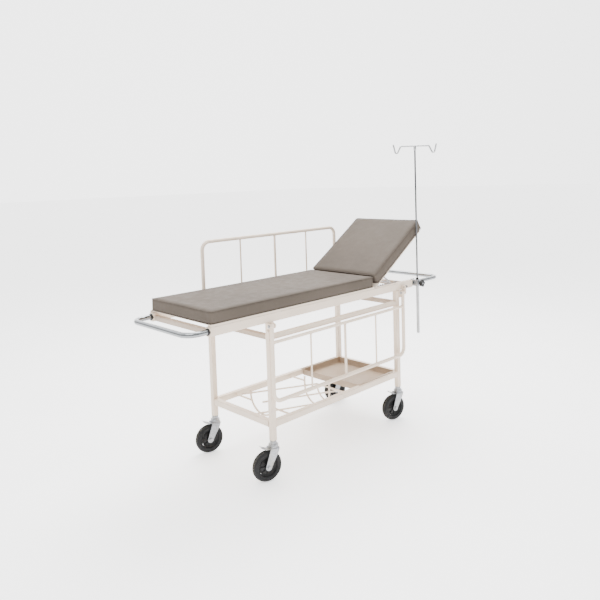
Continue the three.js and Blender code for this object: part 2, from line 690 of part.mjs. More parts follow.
// A U-shaped hoop hung between the lower rails on two stub arms.
function cradleHoop(x, topZ) {
  const centreZ = cradleAxisZ(x);
  const stations = [new THREE.Vector3(x, -CRADLE_HALF_WIDTH, topZ)];
  const steps = 14;
  for (let i = 0; i <= steps; i += 1) {
    const angle = Math.PI * i / steps;
    const y = -CRADLE_HALF_WIDTH * Math.cos(angle);
    const z = centreZ - CRADLE_HALF_WIDTH * Math.sin(angle);
    stations.push(new THREE.Vector3(x, y, z));
  }
  stations.push(new THREE.Vector3(x, CRADLE_HALF_WIDTH, topZ));
  const bow = new THREE.ExtrudeGeometry(roundSection(CRADLE_ROD, 10), {
    steps: stations.length - 1,
    extrudePath: new StationPath(stations),
    bevelEnabled: false,
  });
  const railFace = LEG_Y - LEG_SIZE / 2 - GAP;
  const belowAxis = Math.max(centreZ - LOWER_Z, 0);
  const bowY = Math.sqrt(CRADLE_HALF_WIDTH ** 2 - belowAxis ** 2);
  const stubs = [-1, 1].map((side) => bar(
    [x, side * bowY, LOWER_Z], [x, side * railFace, LOWER_Z], CRADLE_ROD, 10,
  ));
  return join(bow, ...stubs);
}

// Three long rods inside the hoops, closed at the low end by a half ring and a stop bar.
function cradleBasket() {
  const radius = CRADLE_HALF_WIDTH - 2 * CRADLE_ROD - 0.6;
  const footX = -430;
  const headX = 138;
  const angles = [0, 90, 180];
  const rods = angles.map((degrees) => {
    const y = radius * Math.cos(rad(degrees));
    const drop = radius * Math.sin(rad(degrees));
    return bar([footX, y, cradleAxisZ(footX) - drop], [headX, y, cradleAxisZ(headX) - drop], 4.5, 10);
  });
  const stations = [];
  const steps = 12;
  for (let i = 0; i <= steps; i += 1) {
    const angle = Math.PI * i / steps;
    const z = cradleAxisZ(headX) - radius * Math.sin(angle);
    stations.push(new THREE.Vector3(headX, radius * Math.cos(angle), z));
  }
  const ring = new THREE.ExtrudeGeometry(roundSection(4.5, 10), {
    steps,
    extrudePath: new StationPath(stations),
    bevelEnabled: false,
  });
  const stopZ = cradleAxisZ(headX);
  const stop = bar([headX, -radius, stopZ], [headX, radius, stopZ], 4.5, 10);
  return join(...rods, ring, stop);
}

function addCradle() {
  addMesh('cradle_hoop_foot', cradleHoop(HOOP_FOOT_X, 328), paint);
  addMesh('cradle_hoop_head', cradleHoop(HOOP_HEAD_X, 297), paint);
  addMesh('cradle_basket', cradleBasket(), paint);
}

// ---------------------------------------------------------------- casters
// In a caster's own frame the wheel trails towards -X and its axle lies along Y.
function casterFork() {
  const inner = 21.3;
  const outer = 24.8;
  const cheek = new THREE.Shape();
  cheek.moveTo(21, 163);
  cheek.lineTo(-24, 163);
  cheek.lineTo(-CASTER_TRAIL - 14, 82);
  cheek.absarc(-CASTER_TRAIL, WHEEL_RADIUS, 16, rad(155), rad(370), false);
  cheek.lineTo(21, 150);
  cheek.closePath();
  const pieces = [
    plateXZ(cheek, inner, outer),
    plateXZ(cheek, -outer, -inner),
    block([-24, -outer, 160], [21, outer, 164]),
    bar([0, 0, 163], [0, 0, 178], 24, 16),
    bar([0, 0, 177], [0, 0, LEG_BOTTOM_Z - GAP], 17, 12),
    bar([0, 0, 190], [0, 0, 238], 10, 12),
  ];
  return cut(
    join(...pieces),
    bar([-CASTER_TRAIL, -40, WHEEL_RADIUS], [-CASTER_TRAIL, 40, WHEEL_RADIUS], AXLE_RADIUS + 0.3, 20),
    bar([-13, -40, 153], [-13, 40, 153], 3.4, 12),
  );
}

function casterTyre() {
  const r = WHEEL_RADIUS;
  const w = WHEEL_HALF_WIDTH;
  return turnedRing([[46.3, -w + 4], [52, -w], [66, -w], [72, -w + 5], [r, -5], [r, 5],
    [72, w - 5], [66, w], [52, w], [46.3, w - 4]], 28);
}

function casterHub() {
  const bore = AXLE_RADIUS + 0.4;
  return turnedRing([[bore, -20.8], [14, -20.8], [16, -8], [38, -8], [44.5, -13],
    [44.5, 13], [38, 8], [16, 8], [14, 20.8], [bore, 20.8]], 20);
}

function casterAxle() {
  return join(
    bar([0, -29, 0], [0, 29, 0], AXLE_RADIUS, 20),
    bar([0, -31.5, 0], [0, -25.1, 0], 9, 6),
    bar([0, 25.1, 0], [0, 31.5, 0], 9, 6),
  );
}

// A foot lever over the tyre, with its brake shoe underneath; its pin is the origin.
function casterBrake() {
  const lever = new THREE.Shape();
  lever.moveTo(0, 2);
  lever.lineTo(-12, 3.5);
  lever.lineTo(-44, 11);
  lever.lineTo(-56, 19);
  lever.lineTo(-58, 22);
  lever.lineTo(-54.5, 23);
  lever.lineTo(-42.5, 14.5);
  lever.lineTo(-12, 7);
  lever.lineTo(0, 6);
  lever.closePath();
  return join(
    plateXZ(lever, -16, 16),
    bar([0, -16, 0], [0, 16, 0], 5.5, 14),
    bar([0, -24.5, 0], [0, 24.5, 0], 3, 12),
    block([-31, -12, 1.5], [-20, 12, 8]),
  );
}

function addCaster({ name, x, y }) {
  const caster = new THREE.Group();
  caster.position.set(x * LEG_X, y * LEG_Y, 0);
  caster.rotation.z = rad(CASTER_YAW);
  trolley.add(caster);
  addMesh(`caster_fork_${name}`, casterFork(), zinc, caster);
  const wheel = new THREE.Group();
  wheel.position.set(-CASTER_TRAIL, 0, WHEEL_RADIUS);
  caster.add(wheel);
  addMesh(`caster_tyre_${name}`, casterTyre(), rubber, wheel);
  addMesh(`caster_hub_${name}`, casterHub(), blackPlastic, wheel);
  addMesh(`caster_axle_${name}`, casterAxle(), zinc, wheel);
  const brake = addMesh(`caster_brake_${name}`, casterBrake(), zinc, caster);
  brake.position.set(-13, 0, 153);
}

// ---------------------------------------------------------------- assembly
addLegs();
addBaseRails();
addDeckFrame();
addSeatPad();
addBackrest();
addRacks();
addHandles();
addSideRails();
addDripPole();
addTray();
addCradle();
corners.forEach(addCaster);

// The origin goes to the floor under the middle of the bounding box.
const middle = new THREE.Box3().setFromObject(trolley, true).getCenter(new THREE.Vector3());
trolley.position.set(-middle.x, -middle.y, 0);

export default trolley;
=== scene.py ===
import json
import math

import bmesh
import bpy
from mathutils import Matrix, Quaternion, Vector, noise


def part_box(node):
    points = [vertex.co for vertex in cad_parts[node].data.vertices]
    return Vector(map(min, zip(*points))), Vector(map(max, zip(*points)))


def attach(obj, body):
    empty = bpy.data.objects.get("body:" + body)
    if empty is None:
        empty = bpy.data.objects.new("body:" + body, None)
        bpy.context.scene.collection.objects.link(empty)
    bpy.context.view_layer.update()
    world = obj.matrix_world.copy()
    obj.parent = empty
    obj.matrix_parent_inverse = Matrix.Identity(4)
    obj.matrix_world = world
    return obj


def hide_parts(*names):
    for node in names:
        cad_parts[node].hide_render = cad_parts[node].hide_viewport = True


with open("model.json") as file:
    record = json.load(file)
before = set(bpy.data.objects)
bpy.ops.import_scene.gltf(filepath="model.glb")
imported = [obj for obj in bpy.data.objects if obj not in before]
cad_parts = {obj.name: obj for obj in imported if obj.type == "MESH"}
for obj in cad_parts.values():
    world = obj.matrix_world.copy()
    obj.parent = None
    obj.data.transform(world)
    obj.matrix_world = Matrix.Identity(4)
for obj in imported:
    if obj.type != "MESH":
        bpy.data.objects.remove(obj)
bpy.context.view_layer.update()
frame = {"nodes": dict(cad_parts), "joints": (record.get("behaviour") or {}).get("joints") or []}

X, Y, Z = Vector((1, 0, 0)), Vector((0, 1, 0)), Vector((0, 0, 1))
SIDES = ("near", "far")
CORNERS = ("foot_near", "foot_far", "head_near", "head_far")
GAP = 0.0003              # left between touching pieces, as in the frame
LEG = 0.028               # width of a leg's square tube
CLOTH_STEPS = 20          # steps of the cushions' cloth simulation
CLOTH_REACH = 0.006       # how far the simulation may move a point
WELT_RADIUS = 0.0017
BACK_PAD_START = 0.028    # from the hinge up the panel to the pad's lower edge
BACK_PAD_LENGTH = 0.528
BACK_PAD_LIFT = 0.016     # from the hinge's axis to the pad's underside
HANDLE_BEND = 0.058
RAIL_BEND = 0.044
WHEEL = 0.075             # radius of a wheel
TRAIL = 0.038             # from a caster's swivel axis to its axle
joints = {joint["name"]: joint for joint in frame["joints"]}


def low(node):
    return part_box(node)[0]


def high(node):
    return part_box(node)[1]


def middle(node):
    return (low(node) + high(node)) / 2


def joint_place(name):
    return Vector(joints[name]["pos_m"])


# ------------------------------------------------------------------ materials
class Nodes:
    """Short ways to add and wire the nodes of one tree."""

    def __init__(self, tree):
        self.tree = tree

    def add(self, kind):
        return self.tree.nodes.new(kind)

    def link(self, source, target):
        self.tree.links.new(source, target)

    def set(self, socket, value):
        """Links a node's output to a socket, or sets a plain value on it."""
        if isinstance(value, bpy.types.NodeSocket):
            self.link(value, socket)
        elif isinstance(value, tuple) and len(value) == 3:
            socket.default_value = (*value, 1.0)
        else:
            socket.default_value = value

    def levels(self, value, from_low, from_high, to_low=0.0, to_high=1.0, smooth=False):
        node = self.add("ShaderNodeMapRange")
        node.interpolation_type = "SMOOTHSTEP" if smooth else "LINEAR"
        self.link(value, node.inputs["Value"])
        for socket, number in zip(node.inputs[1:5], (from_low, from_high, to_low, to_high)):
            socket.default_value = number
        return node.outputs[0]

    def math(self, operation, a, b=0.0):
        node = self.add("ShaderNodeMath")
        node.operation = operation
        self.set(node.inputs[0], a)
        self.set(node.inputs[1], b)
        return node.outputs[0]

    def along(self, direction, vector):
        """The dot product of a direction and a fixed vector."""
        node = self.add("ShaderNodeVectorMath")
        node.operation = "DOT_PRODUCT"
        self.link(direction, node.inputs[0])
        node.inputs[1].default_value = vector
        return node.outputs["Value"]


class Finish(Nodes):
    """One Principled material, textured in its object's own space."""

    def __init__(self, name, roughness, metallic=0.0):
        self.material = bpy.data.materials.new(name)
        self.material.use_nodes = True
        super().__init__(self.material.node_tree)
        self.tree.nodes.clear()
        self.shader = self.add("ShaderNodeBsdfPrincipled")
        self.input("Metallic", metallic)
        self.input("Roughness", roughness)
        output = self.add("ShaderNodeOutputMaterial")
        self.link(self.shader.outputs[0], output.inputs[0])
        self.place = self.add("ShaderNodeTexCoord").outputs["Object"]

    def input(self, name, value):
        """Sets or links one input of the shader."""
        self.set(self.shader.inputs[name], value)

    def stretched(self, scale):
        node = self.add("ShaderNodeMapping")
        node.inputs["Scale"].default_value = scale
        self.link(self.place, node.inputs["Vector"])
        return node.outputs[0]

    def noise(self, scale, detail=3.0, roughness=0.5, place=None):
        node = self.add("ShaderNodeTexNoise")
        self.link(place or self.place, node.inputs["Vector"])
        node.inputs["Scale"].default_value = scale
        node.inputs["Detail"].default_value = detail
        node.inputs["Roughness"].default_value = roughness
        return node.outputs[0]

    def cells(self, scale, feature="F1", place=None):
        node = self.add("ShaderNodeTexVoronoi")
        node.feature = feature
        self.link(place or self.place, node.inputs["Vector"])
        node.inputs["Scale"].default_value = scale
        return node.outputs["Distance"]

    def attribute(self, name):
        node = self.add("ShaderNodeAttribute")
        node.attribute_name = name
        return node.outputs["Fac"]

    def mix(self, share, a, b):
        node = self.add("ShaderNodeMix")
        node.data_type = "RGBA"
        self.set(node.inputs[0], share)
        self.set(node.inputs[6], a)
        self.set(node.inputs[7], b)
        return node.outputs[2]

    def bump(self, height, distance, strength=1.0, under=None):
        node = self.add("ShaderNodeBump")
        node.inputs["Strength"].default_value = strength
        node.inputs["Distance"].default_value = distance
        self.link(height, node.inputs["Height"])
        if under:
            self.link(under, node.inputs["Normal"])
        return node.outputs[0]

    def patches(self, scale, detail, a, b, edges=(0.3, 0.7)):
        """Two colours in soft patches."""
        return self.mix(self.levels(self.noise(scale, detail), *edges), a, b)

    def colour(self, value):
        self.input("Base Color", value)

    def rough(self, value):
        self.input("Roughness", value)

    def normal(self, value):
        self.input("Normal", value)


def shade_of(colour, share):
    return tuple(channel * share for channel in colour)


def powder_coat(name, colour, shade, primer, gloss=0.3):
    """Satin powder coat: faint blotches, orange peel, grime, and rubbed tube corners."""
    f = Finish(name, 0.4)
    base = f.patches(5, 4, colour, shade, (0.35, 0.65))
    grime = f.levels(f.noise(38, 6, 0.65), 0.56, 0.74, 0.0, 0.16)
    base = f.mix(grime, base, shade_of(colour, 0.55))
    chips = f.levels(f.noise(230, 5, 0.6), 0.60, 0.66)
    rubbed = f.math("MULTIPLY", f.attribute("wear_and_seam_shade"), f.levels(f.noise(24, 3), 0.5, 0.62))
    base = f.mix(f.math("MULTIPLY", rubbed, 0.35), base, shade_of(colour, 0.75))
    base = f.mix(f.math("MULTIPLY", rubbed, chips), base, primer)
    f.colour(base)
    f.rough(f.levels(f.noise(60, 4), 0.3, 0.7, 0.32, 0.48))
    peel = f.bump(f.noise(750, 2), 0.0002, 0.25)
    f.normal(f.bump(f.noise(90, 2), 0.0004, 0.12, peel))
    f.input("Specular IOR Level", gloss)
    return f.material


def plated(name, colour, stain, roughness, grain, stretch=(1, 1, 1), stains=0.35):
    """Bare or plated metal: brushed or fine-grained, with stains and uneven polish."""
    f = Finish(name, roughness, 1.0)
    patches = f.levels(f.noise(14, 5, 0.6), 0.45, 0.72, 0.0, stains)
    f.colour(f.mix(patches, colour, stain))
    streaks = f.noise(grain, 4, 0.6, f.stretched(stretch))
    smudges = f.levels(f.noise(22, 4), 0.35, 0.7, roughness * 0.75, roughness * 1.35)
    fine = f.levels(streaks, 0.3, 0.7, 0.85, 1.2)
    f.rough(f.math("MULTIPLY", smudges, fine))
    f.normal(f.bump(streaks, 0.00008, 0.35))
    return f.material


def spangled_zinc(name):
    """Zinc plate: soft crystal patches with a faint yellow passivate."""
    f = Finish(name, 0.38, 0.85)
    crystals = f.levels(f.cells(170), 0.1, 0.7)
    base = f.mix(crystals, (0.46, 0.47, 0.49), (0.30, 0.31, 0.33))
    tint = f.levels(f.noise(18, 4), 0.48, 0.7, 0.0, 0.35)
    base = f.mix(tint, base, (0.40, 0.36, 0.26))
    dust = f.levels(f.noise(70, 6, 0.7), 0.58, 0.72, 0.0, 0.35)
    f.colour(f.mix(dust, base, (0.13, 0.12, 0.105)))
    f.rough(f.levels(f.noise(45, 4), 0.3, 0.7, 0.28, 0.5))
    f.normal(f.bump(f.noise(420, 4), 0.00015, 0.3))
    return f.material


def leathercloth(name, colour, shade, painted_crease_shade):
    """Coated leathercloth: pebbled grain, soft tone changes, and painted shade in the grain's
    valleys and along the seams.
    """
    f = Finish(name, 0.5)
    tone = f.patches(3.2, 4, colour, shade, (0.35, 0.65))
    warped = f.noise(260, 3)
    pebbles = f.cells(620, "SMOOTH_F1")
    # Painted shade: the grain's valleys are mixed a little toward the dark crease colour.
    valley_shade = f.levels(pebbles, 0.25, 0.6, 0.0, 0.15)
    tone = f.mix(valley_shade, tone, painted_crease_shade)
    scuff = f.levels(f.noise(55, 6, 0.7, f.stretched((1, 2.5, 1))), 0.6, 0.74, 0.0, 0.3)
    tone = f.mix(scuff, tone, shade_of(colour, 1.35))
    # Painted shade: near the seams, where the wear mask is set, the colour goes toward the dark
    # crease colour in noisy patches.
    seam = f.math("MULTIPLY", f.attribute("wear_and_seam_shade"), f.levels(f.noise(48, 4), 0.3, 0.6, 0.1, 0.45))
    f.colour(f.mix(seam, tone, painted_crease_shade))
    f.rough(f.levels(f.noise(30, 5), 0.3, 0.7, 0.50, 0.66))
    grain = f.bump(f.math("ADD", pebbles, warped), 0.0004, 0.5)
    f.normal(f.bump(f.noise(34, 3), 0.0015, 0.35, grain))
    f.input("Specular IOR Level", 0.04)
    return f.material


def dusty_rubber(name):
    """Grey-black tyre rubber, with a dusty, scuffed tread where it is marked as worn."""
    f = Finish(name, 0.7)
    base = f.patches(35, 4, (0.006, 0.006, 0.0065), (0.010, 0.010, 0.0105), (0.35, 0.65))
    dust = f.levels(f.noise(160, 6, 0.7), 0.42, 0.62)
    wear_and_seam_shade = f.attribute("wear_and_seam_shade")
    base = f.mix(f.math("MULTIPLY", wear_and_seam_shade, dust), base, (0.075, 0.07, 0.062))
    specks = f.levels(f.noise(600, 2), 0.66, 0.72, 0.0, 0.35)
    f.colour(f.mix(specks, base, (0.10, 0.095, 0.085)))
    f.input("Specular IOR Level", 0.25)
    f.rough(f.levels(wear_and_seam_shade, 0.0, 1.0, 0.55, 0.85))
    f.normal(f.bump(f.noise(500, 4), 0.0002, 0.5))
    return f.material


def moulded_plastic(name):
    """Black moulded plastic with a spark-eroded texture and lighter scuffs."""
    f = Finish(name, 0.45)
    scuff = f.levels(f.noise(90, 6, 0.7), 0.58, 0.7, 0.0, 0.4)
    base = f.patches(20, 3, (0.004, 0.004, 0.004), (0.008, 0.008, 0.0082), (0.4, 0.6))
    f.colour(f.mix(scuff, base, (0.035, 0.034, 0.032)))
    f.input("Specular IOR Level", 0.35)
    f.rough(f.levels(f.noise(120, 4), 0.3, 0.7, 0.36, 0.55))
    f.normal(f.bump(f.cells(1400), 0.00012, 0.5))
    return f.material


def sewing_thread(name):
    f = Finish(name, 0.6)
    f.colour(f.patches(900, 3, (0.075, 0.060, 0.048), (0.05, 0.04, 0.032)))
    f.normal(f.bump(f.noise(2500, 2), 0.0001, 0.5))
    return f.material


def painted_floor(name):
    """A white floor that glows a little, like a lit studio table."""
    f = Finish(name, 0.6)
    f.input("Emission Color", (1.0, 1.0, 1.0))
    f.input("Emission Strength", 1.1)
    f.colour(f.patches(2, 3, (0.94, 0.94, 0.94), (0.91, 0.91, 0.91)))
    f.normal(f.bump(f.noise(220, 2), 0.0002, 0.1))
    return f.material


looks = {
    "paint": powder_coat("cream_powder_coat", (0.78, 0.66, 0.545), (0.72, 0.60, 0.48),
                         (0.28, 0.26, 0.24)),
    # The tray coat is cream paint darkened toward tan, partly painted shade for the tray's place in
    # shadow under the deck.
    "tray_paint": powder_coat("tray_coat_and_painted_shade", (0.40, 0.31, 0.23), (0.34, 0.26, 0.19),
                              (0.25, 0.24, 0.22), 0.1),
    # A darker brown copy of the cream coat: painted shade for the upper and deck cross tubes, which
    # sit in shadow under the deck.
    "painted_shade_coat": powder_coat("cream_coat_painted_shade", (0.44, 0.35, 0.275), (0.38, 0.30, 0.235),
                             (0.22, 0.20, 0.18), 0.2),
    "chrome": plated("bright_chrome", (0.26, 0.27, 0.28), (0.12, 0.118, 0.115), 0.09, 900,
                     stains=0.25),
    "steel": plated("brushed_steel", (0.115, 0.117, 0.122), (0.07, 0.07, 0.07), 0.32, 260,
                    (4, 4, 0.15)),
    "pale_steel": plated("pale_steel", (0.42, 0.425, 0.43), (0.26, 0.26, 0.26), 0.35, 260,
                         (4, 4, 0.15)),
    "zinc": spangled_zinc("zinc_plate"),
    # The third colour is painted shade, for the grain valleys and the creases along the seams.
    "vinyl": leathercloth("grey_leathercloth", (0.110, 0.091, 0.075), (0.095, 0.079, 0.065),
                          (0.050, 0.038, 0.030)),
    "thread": sewing_thread("grey_thread"),
    "rubber": dusty_rubber("tyre_rubber"),
    "black_plastic": moulded_plastic("black_plastic"),
}


# ------------------------------------------------------------------ mesh building
def start_mesh():
    bm = bmesh.new()
    bm.verts.layers.float.new("wear_and_seam_shade")
    return bm


def piece(name, bm, slot, body, *nodes, look=None, smooth=38):
    """Turns a bmesh into a finished piece that rides on a body and replaces CAD nodes."""
    bmesh.ops.recalc_face_normals(bm, faces=bm.faces)
    mesh = bpy.data.meshes.new(name)
    bm.to_mesh(mesh)
    bm.free()
    mesh.shade_smooth()
    mesh.set_sharp_from_angle(angle=math.radians(smooth))
    mesh.materials.append(looks[look or slot])
    obj = bpy.data.objects.new(name, mesh)
    bpy.context.scene.collection.objects.link(obj)
    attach(obj, body)
    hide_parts(*nodes)
    return obj


def merge(bm, part, matrix=None):
    """Adds one bmesh to another and frees it."""
    if matrix:
        bmesh.ops.transform(part, matrix=matrix, verts=part.verts)
    mesh = bpy.data.meshes.new("part")
    part.to_mesh(mesh)
    part.free()
    bm.from_mesh(mesh)
    bpy.data.meshes.remove(mesh)


def even_turns(count):
    return [2 * math.pi * i / count for i in range(count)]


def round_section(radius, sides=20):
    return [(radius * math.cos(t), radius * math.sin(t), 0.0) for t in even_turns(sides)]


def box_section(width, height, corner=0.003, steps=3, guard=0.0012):
    """A rectangle with rounded corners marked as worn, and unworn points beside them."""
    points = []
    for quarter, (sx, sy) in enumerate(((1, 1), (-1, 1), (-1, -1), (1, -1))):
        centre = Vector((sx * (width / 2 - corner), sy * (height / 2 - corner)))
        start = quarter * math.pi / 2
        along = Vector((-math.sin(start), math.cos(start)))
        first = centre + corner * Vector((math.cos(start), math.sin(start)))
        points.append((*(first - guard * along), 0.0))
        for step in range(steps + 1):
            angle = start + math.pi / 2 * step / steps
            spot = centre + corner * Vector((math.cos(angle), math.sin(angle)))
            points.append((*spot, 1.0))
        after = Vector((-math.sin(angle), math.cos(angle)))
        points.append((*(spot + guard * after), 0.0))
    return points


def path_frames(path, up, closed=False):
    """Each point of a path with its side and up directions, carried along without twist."""
    last = len(path) - 1
    up = Vector(up)
    for i, point in enumerate(path):
        before = path[i - 1] if i or closed else point
        after = path[(i + 1) % (last + 1)] if i < last or closed else point
        along = ((after - point).normalized() + (point - before).normalized()).normalized()
        up = (up - up.dot(along) * along).normalized()
        yield point, along.cross(up), up


def sweep(bm, path, section, up=Z, closed=False, scales=None, bore=None):
    """A closed body swept along a path; with a bore section it is a hollow tube."""
    wear_and_seam_shade = bm.verts.layers.float["wear_and_seam_shade"]
    shells = []
    for outline in (section, bore) if bore else (section,):
        rings = []
        for i, (point, side, top) in enumerate(path_frames(path, up, closed)):
            size = scales[i] if scales else 1.0
            ring = []
            for a, b, mark in outline:
                vert = bm.verts.new(point + side * a * size + top * b * size)
                vert[wear_and_seam_shade] = mark
                ring.append(vert)
            rings.append(ring)
        join_rings(bm, *rings, *(rings[:1] if closed else ()))
        shells.append(rings)
    if closed:
        return
    for end in (0, -1):
        if bore:
            join_rings(bm, shells[0][end], shells[1][end])
        else:
            bm.faces.new(shells[0][end])


def join_rings(bm, *rings):
    """Bands of quads from each ring of points to the next."""
    for ring, following in zip(rings, rings[1:]):
        for i in range(len(ring)):
            j = (i + 1) % len(ring)
            bm.faces.new((ring[i], ring[j], following[j], following[i]))


def bar(bm, start, end, radius, sides=20, rounded=0.0):
    """A round bar, with its ends eased when rounded is given."""
    start, end = Vector(start), Vector(end)
    along = (end - start).normalized()
    up = Y if abs(along.y) < 0.9 else Z
    if not rounded:
        sweep(bm, [start, end], round_section(radius, sides), up)
        return
    ease = [(rounded * (1 - math.cos(t)), 1 - rounded / radius * (1 - math.sin(t)))
            for t in (0.0, math.pi / 6, math.pi / 3, math.pi / 2)]
    path = [start + along * d for d, _ in ease] + [end - along * d for d, _ in reversed(ease)]
    scales = [s for _, s in ease] + [s for _, s in reversed(ease)]
    sweep(bm, path, round_section(radius, sides), up, scales=scales)


def bent_path(corners, bend, steps=9):
    """A polyline with its inner corners rounded to a bend radius."""
    points = [Vector(c) for c in corners]
    path = [points[0]]
    for before, here, after in zip(points, points[1:], points[2:]):
        back, on = (before - here).normalized(), (after - here).normalized()
        half = back.angle(on) / 2
        centre = here + (back + on).normalized() * bend / math.sin(half)
        spoke = here + back * bend / math.tan(half) - centre
        axis = on.cross(back).normalized()
        turn = math.pi - 2 * half
        path += [centre + Quaternion(axis, turn * i / steps) @ spoke for i in range(steps + 1)]
    return path + [points[-1]]


def lathe(bm, profile, matrix, segments=48, worn_rows=()):
    """A solid turned about its own Z from (radius, z) points; a radius of 0 closes an end."""
    wear_and_seam_shade = bm.verts.layers.float["wear_and_seam_shade"]
    rings = []
    for row, (radius, z) in enumerate(profile):
        turns = even_turns(segments) if radius else [0.0]
        ring = []
        for t in turns:
            vert = bm.verts.new(matrix @ Vector((radius * math.cos(t), radius * math.sin(t), z)))
            vert[wear_and_seam_shade] = 1.0 if row in worn_rows else 0.0
            ring.append(vert)
        rings.append(ring)
    if profile[0][0]:
        rings.append(rings[0])
    for ring, following in zip(rings, rings[1:]):
        if len(ring) == 1 or len(following) == 1:
            tip, edge = (ring[0], following) if len(ring) == 1 else (following[0], ring)
            for i in range(segments):
                bm.faces.new((tip, edge[i], edge[(i + 1) % segments]))
        else:
            join_rings(bm, ring, following)


def plate(bm, outline, thickness, ease=0.0005, matrix=None):
    """A flat plate: outline points given a thickness vector, with every edge eased."""
    part = start_mesh()
    bottom = [part.verts.new(Vector(p)) for p in outline]
    top = [part.verts.new(Vector(p) + Vector(thickness)) for p in outline]
    part.faces.new(bottom)
    part.faces.new(top)
    join_rings(part, bottom, top)
    bmesh.ops.recalc_face_normals(part, faces=part.faces)
    if ease:
        sharp = [e for e in part.edges if e.calc_face_angle(0.0) > math.radians(30)]
        bmesh.ops.bevel(part, geom=sharp, offset=ease, segments=2, profile=0.5, affect="EDGES")
    merge(bm, part, matrix)


def slab(bm, lowest, highest, ease=0.0005, matrix=None):
    """A box with eased edges, from its lowest corner to its highest."""
    (x0, y0, z0), (x1, y1, z1) = lowest, highest
    outline = [(x0, y0, z0), (x1, y0, z0), (x1, y1, z0), (x0, y1, z0)]
    plate(bm, outline, (0, 0, z1 - z0), ease, matrix)


def thick_sheet(bm, rows, thickness, matrix=None):
    """A closed sheet about a grid of (point, normal) rows."""
    part = start_mesh()
    sheets = []
    for sign in (-0.5, 0.5):
        sheets.append([[part.verts.new(p + n * sign * thickness) for p, n in row] for row in rows])
    across, along = len(rows[0]), len(rows)
    for sheet in sheets:
        for r in range(along - 1):
            for c in range(across - 1):
                corners = (sheet[r][c], sheet[r][c + 1], sheet[r + 1][c + 1], sheet[r + 1][c])
                part.faces.new(corners)
    rim = [(0, c) for c in range(across)] + [(r, across - 1) for r in range(1, along)]
    rim += [(along - 1, c) for c in range(across - 2, -1, -1)]
    rim += [(r, 0) for r in range(along - 2, 0, -1)]
    join_rings(part, [sheets[0][r][c] for r, c in rim], [sheets[1][r][c] for r, c in rim])
    merge(bm, part, matrix)


def aim(place, direction):
    """A matrix that puts the origin at a place and turns +Z to a direction."""
    turn = Vector(direction).to_track_quat("Z", "Y").to_matrix().to_4x4()
    return Matrix.Translation(place) @ turn


def hex_head(bm, place, direction, across, height, stud=0.0, washer=True):
    """A hexagon head or nut on a washer, with a domed stud end when stud is given."""
    matrix = aim(place, direction)
    lift = 0.0
    if washer:
        lift = across * 0.1
        rim = across * 0.78
        lathe(bm, [(0, 0), (rim, 0), (rim, lift * 0.8), (rim * 0.95, lift), (0, lift)], matrix, 28)
    flat = across / math.sqrt(3)
    part = start_mesh()
    rings = []
    for z, size in ((lift, 0.99), (lift + height * 0.82, 0.99), (lift + height, 0.88)):
        spots = [(x, y, z) for x, y, _ in round_section(flat * size, 6)]
        rings.append([part.verts.new(spot) for spot in spots])
    join_rings(part, *rings)
    part.faces.new(rings[0])
    part.faces.new(rings[2])
    merge(bm, part, matrix)
    if stud:
        r = across * 0.3
        top = lift + height + stud
        profile = [(0, lift + height * 0.5), (r, lift + height * 0.5), (r, top - r * 0.4)]
        lathe(bm, profile + [(r * 0.7, top - r * 0.1), (0, top)], matrix, 20)


def weld_around(bm, centre, axis, width, height, seed, radius=0.0021):
    """A lumpy weld bead round a rectangular tube's end."""
    section = box_section(width, height, 0.003, 3, 0.003)
    side = Y if abs(axis.y) < 0.5 else X
    top = axis.cross(side)
    outline = [centre + side * a + top * b for a, b, _ in section]
    path = []
    for here, after in zip(outline, outline[1:] + outline[:1]):
        steps = max(1, round((after - here).length / 0.0035))
        path += [here.lerp(after, i / steps) for i in range(steps)]
    scales = [1 + 0.45 * noise.noise(p * 420 + Vector((seed, 0, 0))) for p in path]
    sweep(bm, path, round_section(radius, 6), axis, True, scales)


def ring_weld(bm, centre, axis, ring_radius, seed, radius=0.0014):
    """A lumpy weld bead round a bar."""
    side = axis.orthogonal().normalized()
    path = [centre + Quaternion(axis, t) @ side * ring_radius for t in even_turns(18)]
    scales = [1 + 0.4 * noise.noise(p * 500 + Vector((seed, 0, 0))) for p in path]
    sweep(bm, path, round_section(radius, 6), axis, True, scales)


# ------------------------------------------------------------------ places from the frame
rail_low, rail_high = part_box("lower_rail_near")
leg_x = {"foot": rail_low.x - GAP - LEG / 2, "head": rail_high.x + GAP + LEG / 2}
leg_y = {side: middle(f"lower_rail_{side}").y for side in SIDES}
mid_y = (leg_y["near"] + leg_y["far"]) / 2
outward = {"near": -1, "far": 1}
hinge = joint_place("backrest_tilt")
up_panel = Vector(joints["back_pad_creep"]["axis"]).normalized()
off_panel = Vector((-up_panel.z, 0, up_panel.x))


def panel_frame(origin):
    """A frame on the raised backrest: X up the panel, Z out of it."""
    return Matrix.Translation(origin) @ Matrix((up_panel, Y, off_panel)).transposed().to_4x4()


# ------------------------------------------------------------------ square tubes
def tube_like(node, axis, corner=0.003, wall=0.002, look="paint"):
    """Replaces a straight box tube by one with rounded corners and open ends."""
    lowest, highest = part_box(node)
    start, end = middle(node), middle(node)
    start[axis], end[axis] = lowest[axis], highest[axis]
    a, b = (axis + 1) % 3, (axis + 2) % 3
    size = highest - lowest
    up = Vector([float(i == b) for i in range(3)])
    bm = start_mesh()
    outer = box_section(size[a], size[b], corner)
    inner = box_section(size[a] - 2 * wall, size[b] - 2 * wall, corner * 0.5)
    sweep(bm, [start, end], outer, up, bore=inner)
    piece(f"{node}_tube", bm, "paint", "frame", node, look=look)


